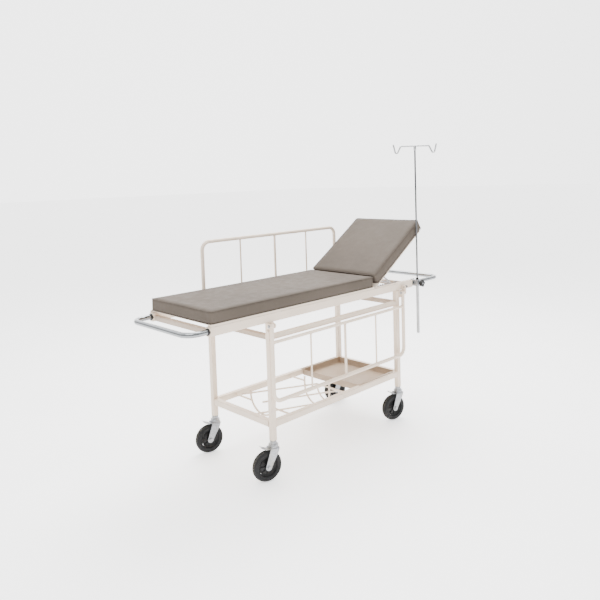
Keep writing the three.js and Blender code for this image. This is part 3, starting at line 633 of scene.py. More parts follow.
def make_square_tubes():
    for side in SIDES:
        tube_like(f"side_beam_{side}", 0, 0.004)
        tube_like(f"lower_rail_{side}", 0)
        tube_like(f"upper_rail_{side}", 0)
    # The upper and deck cross tubes take the darker copy of the cream coat, as painted shade for
    # their place under the deck.
    for end in ("foot", "head"):
        tube_like(f"lower_cross_{end}", 1)
        tube_like(f"upper_cross_{end}", 1, look="painted_shade_coat")
    for place in ("foot", "middle", "head"):
        tube_like(f"deck_cross_{place}", 1, look="painted_shade_coat")


def make_legs():
    """Each leg is a square tube with a welded clevis bracket near its top."""
    ear, thick = 0.013, 0.004
    for corner in CORNERS:
        end, side = corner.split("_")
        node = f"leg_{corner}"
        x, y, out = leg_x[end], leg_y[side], outward[side]
        bottom, top = low(node).z, high(node).z
        bm = start_mesh()
        outer, inner = box_section(LEG, LEG), box_section(LEG - 0.004, LEG - 0.004, 0.0015)
        sweep(bm, [Vector((x, y, bottom)), Vector((x, y, top))], outer, Y, bore=inner)
        piece(f"{node}_tube", bm, "paint", "frame", node)

        pivot = joint_place(f"rail_{side}_swing")
        rail_x = rail_end_x(side, end)
        face = y + out * LEG / 2
        bm = start_mesh()
        spread = ear + thick
        x0, x1 = min(x - LEG / 2, rail_x - spread), max(x + LEG / 2, rail_x + spread)
        y0, y1 = sorted((face + out * 0.0001, face + out * 0.005))
        beam_bottom = low(f"side_beam_{side}").z
        slab(bm, (x0, y0, pivot.z - 0.03), (x1, y1, beam_bottom - GAP), 0.0012)
        for way in (-1, 1):
            start = rail_x - spread if way < 0 else rail_x + ear
            tall = end == "head" and way > 0
            rise = 0.04 if tall else 0.012
            turns = [-math.pi / 2 + math.pi / 2 * i / 8 for i in range(9)]
            arc = [(pivot.y + out * ear * math.cos(t), pivot.z + ear * math.sin(t)) for t in turns]
            shape = [(face + out * 0.004, pivot.z - ear)] + arc
            shape += [(pivot.y + out * ear, pivot.z + rise - 0.006)]
            shape += [(pivot.y + out * (ear - 0.006), pivot.z + rise)]
            shape += [(face + out * 0.004, pivot.z + rise)]
            plate(bm, [(start, sy, sz) for sy, sz in shape], (thick, 0, 0), 0.0006)
        piece(f"rail_bracket_{corner}", bm, "paint", "frame")


def rail_end_x(side, end):
    """Where a side rail's leg stands; its pivot pin reaches 22 mm beyond that."""
    pin_reach = 0.022
    if end == "foot":
        return low(f"side_rail_{side}").x + pin_reach
    return high(f"side_rail_{side}").x - pin_reach


def make_welds():
    bm = start_mesh()
    seed = 0
    for kind, size in (("lower", (LEG, 0.032)), ("upper", (0.025, 0.025))):
        for side in SIDES:
            lowest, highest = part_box(f"{kind}_rail_{side}")
            for x in (lowest.x, highest.x):
                spot = middle(f"{kind}_rail_{side}")
                spot.x = x
                weld_around(bm, spot, X, *size, seed)
                seed += 7
        for end in ("foot", "head"):
            lowest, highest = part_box(f"{kind}_cross_{end}")
            for y in (lowest.y, highest.y):
                spot = middle(f"{kind}_cross_{end}")
                spot.y = y
                weld_around(bm, spot, Y, *reversed(size), seed)
                seed += 7
    for place in ("foot", "middle", "head"):
        node = f"deck_cross_{place}"
        for y in (low(node).y, high(node).y):
            spot = middle(node)
            spot.y = y
            weld_around(bm, spot, Y, 0.025, 0.025, seed)
            seed += 7
    for corner in CORNERS:
        end, side = corner.split("_")
        spot = Vector((leg_x[end], leg_y[side], high(f"leg_{corner}").z))
        weld_around(bm, spot, Z, LEG, LEG, seed)
        seed += 7
    for node in ("cradle_hoop_foot", "cradle_hoop_head"):
        rail = low("lower_rail_near").z, high("lower_rail_near").z
        z = sum(rail) / 2
        for y in (low(node).y, high(node).y):
            ring_weld(bm, Vector((middle(node).x, y, z)), Y, 0.0055, seed, 0.0016)
            seed += 7
    piece("weld_beads", bm, "paint", "frame")


def make_deck_panel():
    """A steel sheet whose long edges turn down over the beams."""
    lowest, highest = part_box("deck_panel")
    half, depth = (highest.y - lowest.y) / 2, highest.z - lowest.z
    sheet, bend = 0.002, 0.003
    outer, inner = [(half, -depth)], [(half - sheet, -depth)]
    for step in range(5):
        angle = math.pi / 2 * step / 4
        c, s = math.cos(angle), math.sin(angle)
        outer.append((half - bend + bend * c, -bend + bend * s))
        inner.append((half - bend + (bend - sheet) * c, -bend + (bend - sheet) * s))
    outline = outer + [(-a, b) for a, b in reversed(outer)]
    outline += [(-a, b) for a, b in inner] + list(reversed(inner))
    points = [(lowest.x, mid_y + a, highest.z + b) for a, b in outline]
    bm = start_mesh()
    plate(bm, points, (highest.x - lowest.x, 0, 0), 0)
    piece("deck_sheet", bm, "paint", "frame", "deck_panel")


# ------------------------------------------------------------------ mattress
def cushion_grid(bm, size, corner, step):
    """A box of even quads with rounded plan corners: the skin that the pressure fills.
    Its origin is the middle of the bottom. Returns the loops of its two seams."""
    counts = [max(4, round(size[0] / step)), max(4, round(size[1] / step)), 5]
    half_x, half_y = size[0] / 2, size[1] / 2
    verts = {}

    def plan(x, y):
        a, b = abs(x) - (half_x - corner), abs(y) - (half_y - corner)
        if a > 0 and b > 0:
            a, b = (a * math.sqrt(1 - b * b / (2 * corner * corner)),
                    b * math.sqrt(1 - a * a / (2 * corner * corner)))
            x = math.copysign(half_x - corner + a, x)
            y = math.copysign(half_y - corner + b, y)
        return x, y

    def vert(i, j, k):
        if (i, j, k) not in verts:
            x, y = plan(size[0] * (i / counts[0] - 0.5), size[1] * (j / counts[1] - 0.5))
            verts[i, j, k] = bm.verts.new((x, y, size[2] * k / counts[2]))
        return verts[i, j, k]

    def quad(*corners):
        bm.faces.new([vert(*corner) for corner in corners])

    nx, ny, nz = counts
    for k in (0, nz):
        for i in range(nx):
            for j in range(ny):
                quad((i, j, k), (i + 1, j, k), (i + 1, j + 1, k), (i, j + 1, k))
    for k in range(nz):
        for j in (0, ny):
            for i in range(nx):
                quad((i, j, k), (i + 1, j, k), (i + 1, j, k + 1), (i, j, k + 1))
        for i in (0, nx):
            for j in range(ny):
                quad((i, j, k), (i, j + 1, k), (i, j + 1, k + 1), (i, j, k + 1))
    loop = [(i, 0) for i in range(nx)] + [(nx, j) for j in range(ny)]
    loop += [(i, ny) for i in range(nx, 0, -1)] + [(0, j) for j in range(ny, 0, -1)]
    seams = {k: [verts[i, j, k] for i, j in loop] for k in (0, nz)}
    # The seam loops are marked in the wear mask; on the leathercloth that mask paints shade along
    # the seams.
    wear_and_seam_shade = bm.verts.layers.float["wear_and_seam_shade"]
    for loop in seams.values():
        for v in loop:
            v[wear_and_seam_shade] = 1.0
    return seams


def evaluated(obj):
    return obj.evaluated_get(bpy.context.evaluated_depsgraph_get())


def inflate(obj, edge, cap, firm):
    """Fills the skin by cloth pressure without gravity, and caps how far a point moves."""
    rest = [v.co.copy() for v in obj.data.vertices]
    held = obj.vertex_groups.new(name="held")
    held.add([i for i, co in enumerate(rest) if co.z < 1e-6], 1.0, "REPLACE")
    held.add([i for i, co in enumerate(rest) if co.z > 1e-6 and edge[i]], firm, "REPLACE")
    cloth = obj.modifiers.new("Cloth", "CLOTH")
    cloth.settings.use_pressure = True
    cloth.settings.uniform_pressure_force = 4
    cloth.settings.effector_weights.gravity = 0
    cloth.settings.vertex_group_mass = "held"
    cloth.settings.tension_stiffness = 12
    cloth.settings.compression_stiffness = 12
    cloth.settings.bending_stiffness = 3
    cloth.point_cache.frame_start, cloth.point_cache.frame_end = 1, CLOTH_STEPS
    for step in range(1, CLOTH_STEPS + 1):
        bpy.context.scene.frame_set(step)
    moved = [v.co.copy() for v in evaluated(obj).data.vertices]
    obj.modifiers.remove(cloth)
    bpy.context.scene.frame_set(1)
    for vert, before, after in zip(obj.data.vertices, rest, moved):
        shift = after - before
        if shift.length > cap:
            shift *= cap / shift.length
        vert.co = before + shift


def make_cushion(name, node, body, size, matrix):
    """A boxed cushion in leathercloth: simulated skin, welted seams and sewn puckers."""
    inset = 0.0035
    skin = (size[0] - 2 * inset, size[1] - 2 * inset, size[2] - inset)
    bm = start_mesh()
    seams = cushion_grid(bm, skin, 0.014, 0.0095)
    bm.verts.index_update()
    loops = [[v.index for v in loop] for loop in seams.values()]
    edge = [0] * len(bm.verts)
    for loop in loops:
        for i in loop:
            edge[i] = 1
    bmesh.ops.recalc_face_normals(bm, faces=bm.faces)
    mesh = bpy.data.meshes.new(name)
    bm.to_mesh(mesh)
    bm.free()
    obj = bpy.data.objects.new(name, mesh)
    bpy.context.scene.collection.objects.link(obj)
    inflate(obj, edge, CLOTH_REACH, 0.35)
    for i, vert in enumerate(mesh.vertices):
        if edge[i]:
            continue
        if vert.co.z > skin[2] * 0.9:
            vert.co.z += 0.0007 * noise.noise(vert.co * 7) + 0.0004 * noise.noise(vert.co * 31)
    welt_paths = [[matrix @ mesh.vertices[i].co for i in loop] for loop in loops]
    mesh.transform(matrix)
    smoother = obj.modifiers.new("Subdivision", "SUBSURF")
    smoother.levels = smoother.render_levels = 1
    refined = bpy.data.meshes.new_from_object(evaluated(obj))
    obj.modifiers.clear()
    obj.data = refined
    refined.materials.clear()
    refined.materials.append(looks["vinyl"])
    refined.shade_smooth()
    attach(obj, body)
    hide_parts(node)
    add_welts(name, welt_paths, body, matrix)


def add_welts(name, paths, body, matrix):
    """The folded seam that stands along each edge, with a row of stitches beside the top one."""
    bm = start_mesh()
    up = matrix.to_3x3() @ Z
    for path in paths:
        dense = []
        for here, after in zip(path, path[1:] + path[:1]):
            dense += [here, here.lerp(after, 0.5)]
        scales = [1 + 0.18 * noise.noise(p * 160) for p in dense]
        sweep(bm, dense, round_section(WELT_RADIUS, 8), up, True, scales)
    piece(f"{name}_welts", bm, "vinyl", body)
    bm = start_mesh()
    top = paths[1]
    centre = sum(top, Vector()) / len(top)
    for here, after in zip(top, top[1:] + top[:1]):
        inward = centre - here
        along = (after - here).normalized()
        inward = (inward - inward.dot(along) * along - inward.dot(up) * up).normalized()
        span = (after - here).length
        for share in (0.1, 0.6):
            a = here + along * span * share + inward * 0.006 + up * 0.0006
            b = a + along * span * 0.34
            bar(bm, a, b, 0.00045, 6)
    piece(f"{name}_stitches", bm, "vinyl", body, look="thread")


def make_mattress():
    lowest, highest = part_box("seat_pad")
    size = highest - lowest
    base = Vector((middle("seat_pad").x, mid_y, lowest.z))
    make_cushion("seat_cushion", "seat_pad", "frame", size, Matrix.Translation(base))
    centre = hinge + up_panel * (BACK_PAD_START + BACK_PAD_LENGTH / 2) + off_panel * BACK_PAD_LIFT
    centre.y = mid_y
    back_size = (BACK_PAD_LENGTH, size.y, size.z)
    make_cushion("back_cushion", "back_pad", "mattress_back", back_size, panel_frame(centre))


# ------------------------------------------------------------------ backrest
def make_backrest():
    """Square tubes under a folded panel, in a frame whose X runs up the panel."""
    place = panel_frame(Vector((hinge.x, mid_y, hinge.z)))
    start, length, tube, tube_y = 0.004, 0.520, 0.020, 0.200
    top = 0.0139          # from the hinge's axis up to the tops of the tubes
    low_v = top - tube / 2
    half = (high("deck_panel").y - low("deck_panel").y) / 2
    bm = start_mesh()
    outer, inner = box_section(tube, tube, 0.0022), box_section(tube - 0.003, tube - 0.003, 0.001)
    for way in (-1, 1):
        y = way * tube_y
        path = [place @ Vector((-0.009, y, low_v)), place @ Vector((length - 0.008, y, low_v))]
        sweep(bm, path, outer, off_panel, bore=inner)
    across = [place @ Vector((length - 0.018, y, low_v)) for y in (-tube_y + 0.01, tube_y - 0.01)]
    sweep(bm, across, outer, off_panel, bore=inner)
    slab(bm, (start, -half, top - 0.0002), (length, half, top + 0.0018), 0.0006, place)
    for y in (-half + 0.001, half - 0.001):
        edge = [place @ Vector((u, y, top - 0.001)) for u in (start, length)]
        sweep(bm, edge, box_section(0.002, 0.006, 0.0008), off_panel)
    piece("backrest_panel_and_tubes", bm, "paint", "backrest", "backrest_frame")

    bm = start_mesh()
    for way in (-1, 1):
        for u in (0.06, 0.2, 0.38, 0.48):
            spot = place @ Vector((u, way * tube_y, top - tube))
            hex_head(bm, spot, -off_panel, 0.008, 0.003)
    piece("backrest_panel_bolts", bm, "zinc", "backrest")


def make_prop():
    """The prop bail: a pivot rod, two arms and the foot rod that rests on the racks."""
    radius = 0.005
    lowest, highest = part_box("backrest_prop")
    pivot = joint_place("prop_fold")
    arm_y = 0.172
    foot = Vector((highest.x - radius, 0, lowest.z + radius))
    bm = start_mesh()
    bar(bm, (pivot.x, lowest.y, pivot.z), (pivot.x, highest.y, pivot.z), radius, 20, 0.001)
    corners = [(pivot.x, mid_y - arm_y, pivot.z), (foot.x, mid_y - arm_y, foot.z),
               (foot.x, mid_y + arm_y, foot.z), (pivot.x, mid_y + arm_y, pivot.z)]
    sweep(bm, bent_path(corners, 0.009, 6), round_section(radius, 18), Y)
    for way in (-1, 1):
        spot = Vector((pivot.x, mid_y + way * arm_y, pivot.z))
        ring_weld(bm, spot + Y * 0.005, Y, 0.0055, 3)
        ring_weld(bm, spot - Y * 0.005, Y, 0.0055, 11)
    piece("prop_bail", bm, "zinc", "prop", "backrest_prop")


# ------------------------------------------------------------------ push handles
def make_handles():
    """Chromed tubes bent to a U, which enter the beams through black collars."""
    for end, way in (("foot", -1), ("head", 1)):
        node = f"push_handle_{end}"
        lowest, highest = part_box(node)
        radius = (highest.z - lowest.z) / 2
        z = (lowest.z + highest.z) / 2
        y0, y1 = lowest.y + radius, highest.y - radius
        outer = lowest.x + radius if way < 0 else highest.x - radius
        inner = highest.x if way < 0 else lowest.x
        corners = [(inner, y0, z), (outer, y0, z), (outer, y1, z), (inner, y1, z)]
        path = bent_path(corners, HANDLE_BEND, 12)
        bm = start_mesh()
        sweep(bm, path, round_section(radius, 32), Z, bore=round_section(radius - 0.0016, 32))
        piece(f"{node}_tube", bm, "chrome", "frame", node)
        beam_end = low("side_beam_near").x if way < 0 else high("side_beam_near").x
        beam = middle("side_beam_near")
        bm = start_mesh()
        for y in (y0, y1):
            spot = Vector((beam_end, y, z))
            matrix = aim(spot, X * way)
            r = radius + GAP
            collar = [(r, 0.0), (r + 0.0030, 0.0), (r + 0.0030, 0.009), (r + 0.0022, 0.0115),
                      (r + 0.0008, 0.0125), (r, 0.0125)]
            lathe(bm, collar, matrix, 36)
        piece(f"handle_collars_{end}", bm, "black_plastic", "frame")
        bm = start_mesh()
        size = high("side_beam_near") - low("side_beam_near")
        for y in (y0, y1):
            cap = [Vector((beam_end + way * d, y, beam.z)) for d in (0.0002, 0.0022, 0.0028)]
            sweep(bm, cap, box_section(size.y, size.z, 0.004), Z, scales=(1.0, 1.0, 0.96))
        piece(f"beam_ends_{end}", bm, "paint", "frame")


# ------------------------------------------------------------------ side rails
def make_side_rails():
    radius, cross_radius = 0.010, 0.008
    for side in SIDES:
        node = f"side_rail_{side}"
        lowest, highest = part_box(node)
        pivot = joint_place(f"rail_{side}_swing")
        raised = highest.z - pivot.z > pivot.z - lowest.z
        way = 1 if raised else -1
        reach = (highest.z - pivot.z if raised else pivot.z - lowest.z) - radius
        foot, head = rail_end_x(side, "foot"), rail_end_x(side, "head")
        y, z = pivot.y, pivot.z
        bm = start_mesh()
        top = z + way * reach
        corners = [(foot, y, z), (foot, y, top), (head, y, top), (head, y, z)]
        sweep(bm, bent_path(corners, RAIL_BEND, 10), round_section(radius, 24), Y)
        cross = z + way * 0.081
        bar(bm, (foot, y, cross), (head, y, cross), cross_radius, 20)
        ring_weld(bm, Vector((foot + radius, y, cross)), X, cross_radius + 0.0006, 5)
        ring_weld(bm, Vector((head - radius, y, cross)), X, cross_radius + 0.0006, 9)
        for share, thickness in ((0.25, 0.0045), (0.5, 0.0065), (0.75, 0.0045)):
            x = foot + share * (head - foot)
            bar(bm, (x, y, cross), (x, y, top), thickness, 16)
            ring_weld(bm, Vector((x, y, cross + way * cross_radius)), Z, thickness + 0.0005, x * 90)
            ring_weld(bm, Vector((x, y, top - way * radius)), Z, thickness + 0.0005, x * 50)
        for x in (foot, head):
            matrix = aim(Vector((x - radius, y, z)), X)
            r = radius
            profile = [(0, 0), (r - 0.001, 0), (r, 0.001), (r, 2 * r - 0.001), (r - 0.001, 2 * r)]
            lathe(bm, profile + [(0, 2 * r)], matrix, 28)
        piece(f"{node}_tubes", bm, "paint", f"rail_{side}", node)

        bm = start_mesh()
        for x in (foot, head):
            for out in (-1, 1):
                spot = Vector((x + out * 0.0172, y, z))
                hex_head(bm, spot, X * out, 0.011, 0.0034)
            bar(bm, (x - 0.0175, y, z), (x + 0.0175, y, z), 0.004, 16)
        piece(f"rail_pivot_bolts_{side}", bm, "zinc", f"rail_{side}")


def make_latches():
    """Spring plungers with a turned pull knob, which lock the raised rails."""
    for side in SIDES:
        node = f"rail_latch_{side}"
        lowest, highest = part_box(node)
        spot = Vector((lowest.x, middle(node).y, middle(node).z))
        length = highest.x - lowest.x
        grip = length - 0.013
        profile = [(0, 0), (0.0028, 0), (0.0035, 0.001), (0.0035, grip), (0.0068, grip),
                   (0.008, grip + 0.001), (0.008, grip + 0.003), (0.0062, grip + 0.0045),
                   (0.0062, grip + 0.006), (0.008, grip + 0.0075), (0.008, length - 0.002),
                   (0.0065, length - 0.0005), (0, length)]
        bm = start_mesh()
        lathe(bm, profile, aim(spot, X), 28)
        piece(f"{node}_plunger", bm, "steel", f"latch_{side}", node)


# ------------------------------------------------------------------ drip pole
def make_drip_pole():
    lowest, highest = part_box("pole_socket_tube")
    x, y = middle("pole_socket_tube").x, middle("pole_socket_tube").y
    tube, bore = (highest.x - lowest.x) / 2, 0.0056
    length = highest.z - lowest.z
    profile = [(bore, 0), (tube - 0.0008, 0), (tube, 0.0008), (tube, length - 0.0008),
               (tube - 0.0008, length), (bore, length)]
    bm = start_mesh()
    lathe(bm, profile, Matrix.Translation((x, y, lowest.z)), 32)
    piece("pole_socket_sleeve", bm, "steel", "frame", "pole_socket_tube", look="pale_steel")

    bm = start_mesh()
    ferrule = [(bore, 0), (tube - 0.0006, 0), (tube, 0.001), (tube, 0.012),
               (tube - 0.001, 0.016), (bore + 0.001, 0.0165), (bore, 0.0165)]
    lathe(bm, ferrule, Matrix.Translation((x, y, highest.z)), 32)
    piece("pole_ferrule", bm, "black_plastic", "frame")

    lowest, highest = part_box("pole_rod")
    radius = (highest.x - lowest.x) / 2
    bm = start_mesh()
    bar(bm, (x, y, lowest.z), (x, y, highest.z), radius, 24, 0.001)
    piece("pole_upper_rod", bm, "steel", "pole", "pole_rod")

    make_hooks(x, y)
    make_clamp_and_knob(x)


def make_hooks(x, y):
    """A bar across the pole's top; each end dips and turns up to a round-nosed hook."""
    top = joint_place("hook_turn").z
    tilt = Matrix.Translation((x, y, top)) @ Matrix.Rotation(math.radians(-45), 4, "Z")
    half = [(0.084, 0, 0), (0.112, 0, -0.058), (0.128, 0, 0.0095)]
    corners = [(-a, b, c) for a, b, c in reversed(half)] + half
    bm = start_mesh()
    path = [tilt @ p for p in bent_path(corners, 0.009, 7)]
    sweep(bm, path, round_section(0.0048, 18), tilt.to_3x3() @ Y)
    for tip in (corners[0], corners[-1]):
        nose = [(0, -0.004), (0.0032, -0.0035), (0.0048, -0.0018), (0.0049, 0.0004),
                (0.0036, 0.0020), (0, 0.0027)]
        lathe(bm, nose, Matrix.Translation(tilt @ Vector(tip)), 18)
    collar = [(0.0054, -0.026), (0.0074, -0.026), (0.008, -0.025), (0.008, -0.001), (0.0068, 0.001),
              (0.0054, 0.0018)]
    lathe(bm, collar, tilt, 24)
    lathe(bm, [(0, -0.0062), (0.0060, -0.0062), (0.0060, 0.0015), (0, 0.0022)], tilt, 24)
    piece("hook_bar", bm, "steel", "hooks", "pole_hooks", look="pale_steel")


def make_clamp_and_knob(x):
    lowest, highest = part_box("pole_clamp")
    bm = start_mesh()
    slab(bm, lowest, highest, 0.0028)
    knob_z = joint_place("knob_turn").z
    for out in (-1, 1):
        spot = Vector((x + out * 0.010, highest.y - 0.006, highest.z))
        lathe(bm, [(0, 0), (0.0042, 0), (0.0042, 0.0028), (0.0034, 0.0036), (0, 0.0036)],
              Matrix.Translation(spot), 20)
    ring = [(0.0, 0.0), (0.0105, 0.0), (0.0105, 0.0022), (0.0095, 0.003), (0.0, 0.003)]
    lathe(bm, ring, aim(Vector((x, lowest.y, knob_z)), -Y), 28)
    piece("clamp_block", bm, "zinc", "frame", "pole_clamp")

    lowest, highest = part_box("pole_knob")
    back = highest.y
    bm = start_mesh()
    depth = back - lowest.y
    stations = [(0.013, 0.86), (0.0145, 0.96), (0.017, 1.0), (0.025, 1.0), (0.0275, 0.965),
                (depth, 0.88), (depth, 0.55), (depth - 0.002, 0.5), (depth - 0.002, 0.3)]
    rings = []
    for distance, share in stations:
        ring = []
        for t in even_turns(60):
            r = (0.0195 + 0.004 * math.cos(5 * t) * min(1.0, share * 1.1)) * share
            spot = (x + r * math.cos(t), back - distance, knob_z + r * math.sin(t))
            ring.append(bm.verts.new(spot))
        rings.append(ring)
    join_rings(bm, *rings)
    bm.faces.new(rings[0])
    bm.faces.new(rings[-1])
    bar(bm, (x, back - 0.014, knob_z), (x, back, knob_z), 0.0068, 24)
    piece("star_knob", bm, "black_plastic", "knob", "pole_knob")
    bm = start_mesh()
    insert = [(0, 0), (0.0048, 0), (0.0048, 0.0012), (0.0038, 0.0016), (0, 0.0016)]
    lathe(bm, insert, aim(Vector((x, lowest.y + 0.002, knob_z)), -Y), 20)
    piece("knob_insert", bm, "zinc", "knob")


# ------------------------------------------------------------------ tray
def make_tray():
    """A pressed tray: rounded walls and floor bends, with rims folded out over the rails."""
    lowest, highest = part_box("storage_tray")
    sheet = 0.0015
    half_y = (middle("lower_rail_far").y - LEG / 2 - GAP) - mid_y
    half_x = (highest.x - lowest.x) / 2
    centre = Vector((middle("storage_tray").x, mid_y, 0))
    floor, rim = lowest.z, highest.z

    def ring(bm, inset, z, corner):
        section = box_section(2 * (half_x - inset), 2 * (half_y - inset), corner, 5, 0.01)
        return [bm.verts.new(centre + Vector((a, b, z))) for a, b, _ in section]

    bm = start_mesh()
    bend = 0.006
    turns = [math.pi / 2 * i / 4 for i in range(5)]
    outer = [(bend * (1 - math.cos(t)), floor + bend * (1 - math.sin(t))) for t in turns]
    deep = bend - sheet
    inner = [(sheet + deep * (1 - math.cos(t)), floor + sheet + deep * (1 - math.sin(t)))
             for t in reversed(turns)]
    rows = [(0.0, rim - 0.0004)] + outer
    rings = [ring(bm, inset, z, 0.008 - min(inset, 0.003)) for inset, z in rows]
    bm.faces.new(rings[-1])
    inside = [ring(bm, inset, z, 0.0065) for inset, z in inner + [(sheet, rim - 0.0004)]]
    bm.faces.new(inside[0])
    join_rings(bm, *rings)
    join_rings(bm, *inside)
    lip = ring(bm, sheet / 2, rim, 0.0072)
    join_rings(bm, rings[0], lip, inside[-1])
    piece("tray_pan", bm, "tray_paint", "frame", "storage_tray")

    bm = start_mesh()
    for way in (-1, 1):
        edge, out = mid_y + way * (half_y - 0.0006), mid_y + way * (half_y + 0.016)
        y0, y1 = sorted((edge, out))
        slab(bm, (lowest.x, y0, rim - sheet), (highest.x - LEG, y1, rim), 0.0005)
        for share in (0.12, 0.5, 0.88):
            x = lowest.x + share * (highest.x - LEG - lowest.x)
            spot = Vector((x, (y0 + y1) / 2 + way * 0.002, rim))
            dome = [(0, -0.0002), (0.004, -0.0002), (0.0042, 0.0006), (0.003, 0.0017), (0, 0.0021)]
            lathe(bm, dome, Matrix.Translation(spot), 18)
    piece("tray_rims", bm, "tray_paint", "frame")


# ------------------------------------------------------------------ oxygen-cylinder cradle
def make_cradle():
    radius = 0.005
    rail_z = middle("lower_rail_near").z
    wide = 0.097
    axis_z = {}
    for end in ("foot", "head"):
        node = f"cradle_hoop_{end}"
        lowest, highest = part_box(node)
        x = middle(node).x
        centre_z = lowest.z + radius + wide
        axis_z[end] = (x, centre_z)
        path = [Vector((x, mid_y - wide, highest.z - 0.001))]
        for i in range(29):
            t = math.pi * i / 28
            path.append(Vector((x, mid_y - wide * math.cos(t), centre_z - wide * math.sin(t))))
        path.append(Vector((x, mid_y + wide, highest.z - 0.001)))
        bm = start_mesh()
        sweep(bm, path, round_section(radius, 16), X)
        for way in (-1, 1):
            bow_y = math.sqrt(wide ** 2 - max(centre_z - rail_z, 0.0) ** 2)
            inner, outer = mid_y + way * bow_y, mid_y + way * ((highest.y - lowest.y) / 2)
            bar(bm, (x, inner, rail_z), (x, outer, rail_z), radius, 16)
            ring_weld(bm, Vector((x, inner + way * radius, rail_z)), Y, radius + 0.0004, x * 70)
            cap = [(0, -0.0004), (0.0058, -0.0004), (0.0058, 0.0026), (0.004, 0.0045), (0, 0.005)]
            lathe(bm, cap, Matrix.Translation((x, mid_y + way * wide, highest.z - 0.005)), 18)
        piece(f"{node}_bow", bm, "paint", "frame", node)
    make_cradle_basket(axis_z, wide)


def make_cradle_basket(axis_z, wide):
    """Three long rods inside the hoops, closed at the head end by a half ring and a stop."""
    rod = 0.0045
    lowest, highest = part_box("cradle_basket")
    (x0, z0), (x1, z1) = axis_z["foot"], axis_z["head"]
    slope = (z1 - z0) / (x1 - x0)
    radius = wide - 0.0106
    foot_x, head_x = lowest.x + rod * 0.2, highest.x - rod

    def spot(x, angle):
        z = z0 + slope * (x - x0)
        return Vector((x, mid_y + radius * math.cos(angle), z - radius * math.sin(angle)))

    bm = start_mesh()
    for angle in (0.0, math.pi / 2, math.pi):
        bar(bm, spot(foot_x, angle), spot(head_x, angle), rod, 16, 0.0012)
        for x, _ in axis_z.values():
            ring_weld(bm, spot(x, angle), X, rod + 0.0004, angle * 9 + x)
    ring = [spot(head_x, math.pi * i / 24) for i in range(25)]
    sweep(bm, ring, round_section(rod, 16), X)
    bar(bm, spot(head_x, 0.0), spot(head_x, math.pi), rod, 16)
    piece("cradle_rods", bm, "paint", "frame", "cradle_basket")


# ------------------------------------------------------------------ casters
def caster_matrix(name):
    """A caster's own frame: the floor below its swivel, with the wheel trailing to -X."""
    place = joint_place(f"swivel_{name}")
    axle = Vector(joints[f"roll_{name}"]["axis"])
    yaw = math.atan2(-axle.x, axle.y)
    return Matrix.Translation((place.x, place.y, 0)) @ Matrix.Rotation(yaw, 4, "Z")


def fork_rows():
    """The pressed fork's middle surface: up one cheek, over the crown and down the other."""
    half, crown_z, bend, tip = 0.02305, 0.1620, 0.006, 0.016
    heights = (0.0592, 0.0600, 0.062, 0.0655, 0.070, 0.075, 0.082, 0.1, 0.12, 0.14)
    walk = [(half, z, 0.0) for z in heights] + [(half, crown_z - bend, 0.0)]
    for step in range(1, 6):
        t = math.pi / 2 * step / 5
        walk.append((half - bend + bend * math.cos(t), crown_z - bend + bend * math.sin(t), t))
    walk.append((0.010, crown_z, math.pi / 2))
    walk = walk + [(-y, z, math.pi - t) for y, z, t in reversed(walk)]

    def span(z):
        if z < WHEEL:
            width = math.sqrt(max(tip * tip - (z - WHEEL) ** 2, 1e-9))
            return -TRAIL - width, -TRAIL + width
        rise = min(1.0, (z - WHEEL) / (0.150 - WHEEL))
        front = -TRAIL + tip + (0.021 + TRAIL - tip) * rise
        lift = min(1.0, (z - WHEEL) / (crown_z - WHEEL))
        back = -TRAIL - tip + (TRAIL + tip - 0.024) * lift
        return back, front

    rows = []
    for y, z, turn in walk:
        back, front = span(z)
        normal = Vector((0, math.cos(turn), math.sin(turn)))
        rows.append([(Vector((back + (front - back) * i / 8, y, z)), normal) for i in range(9)])
    return rows


def make_caster(name):
    place = caster_matrix(name)
    bm = start_mesh()
    thick_sheet(bm, fork_rows(), 0.0035, place)
    race = [(0, 0.1625), (0.0225, 0.1625), (0.024, 0.164), (0.024, 0.168), (0.0228, 0.1688),
            (0.0222, 0.1697), (0.0228, 0.1706), (0.024, 0.1714), (0.024, 0.1748), (0.0222, 0.1772),
            (0.0172, 0.1780), (0.0165, 0.1787), (0.0165, 0.1915), (0.0158, 0.1926), (0.010, 0.1926),
            (0.010, 0.2372), (0.009, 0.238), (0, 0.238)]
    lathe(bm, race, place, 40)
    hex_head(bm, place @ Vector((0, 0, 0.1602)), -Z, 0.017, 0.006)
    piece(f"fork_{name}", bm, "zinc", f"caster_{name}", f"caster_fork_{name}")

    axle = place.to_3x3() @ Y
    hub = place @ Vector((-TRAIL, 0, WHEEL))
    bm = start_mesh()
    bar(bm, hub - axle * 0.028, hub + axle * 0.028, 0.005, 20)
    hex_head(bm, hub - axle * 0.0249, -axle, 0.0150, 0.0052)
    hex_head(bm, hub + axle * 0.0249, axle, 0.0150, 0.0044, stud=0.0006)
    piece(f"axle_bolt_{name}", bm, "zinc", f"caster_{name}", f"caster_axle_{name}")
    make_wheel(name, aim(hub, axle))
    make_brake(name, place)


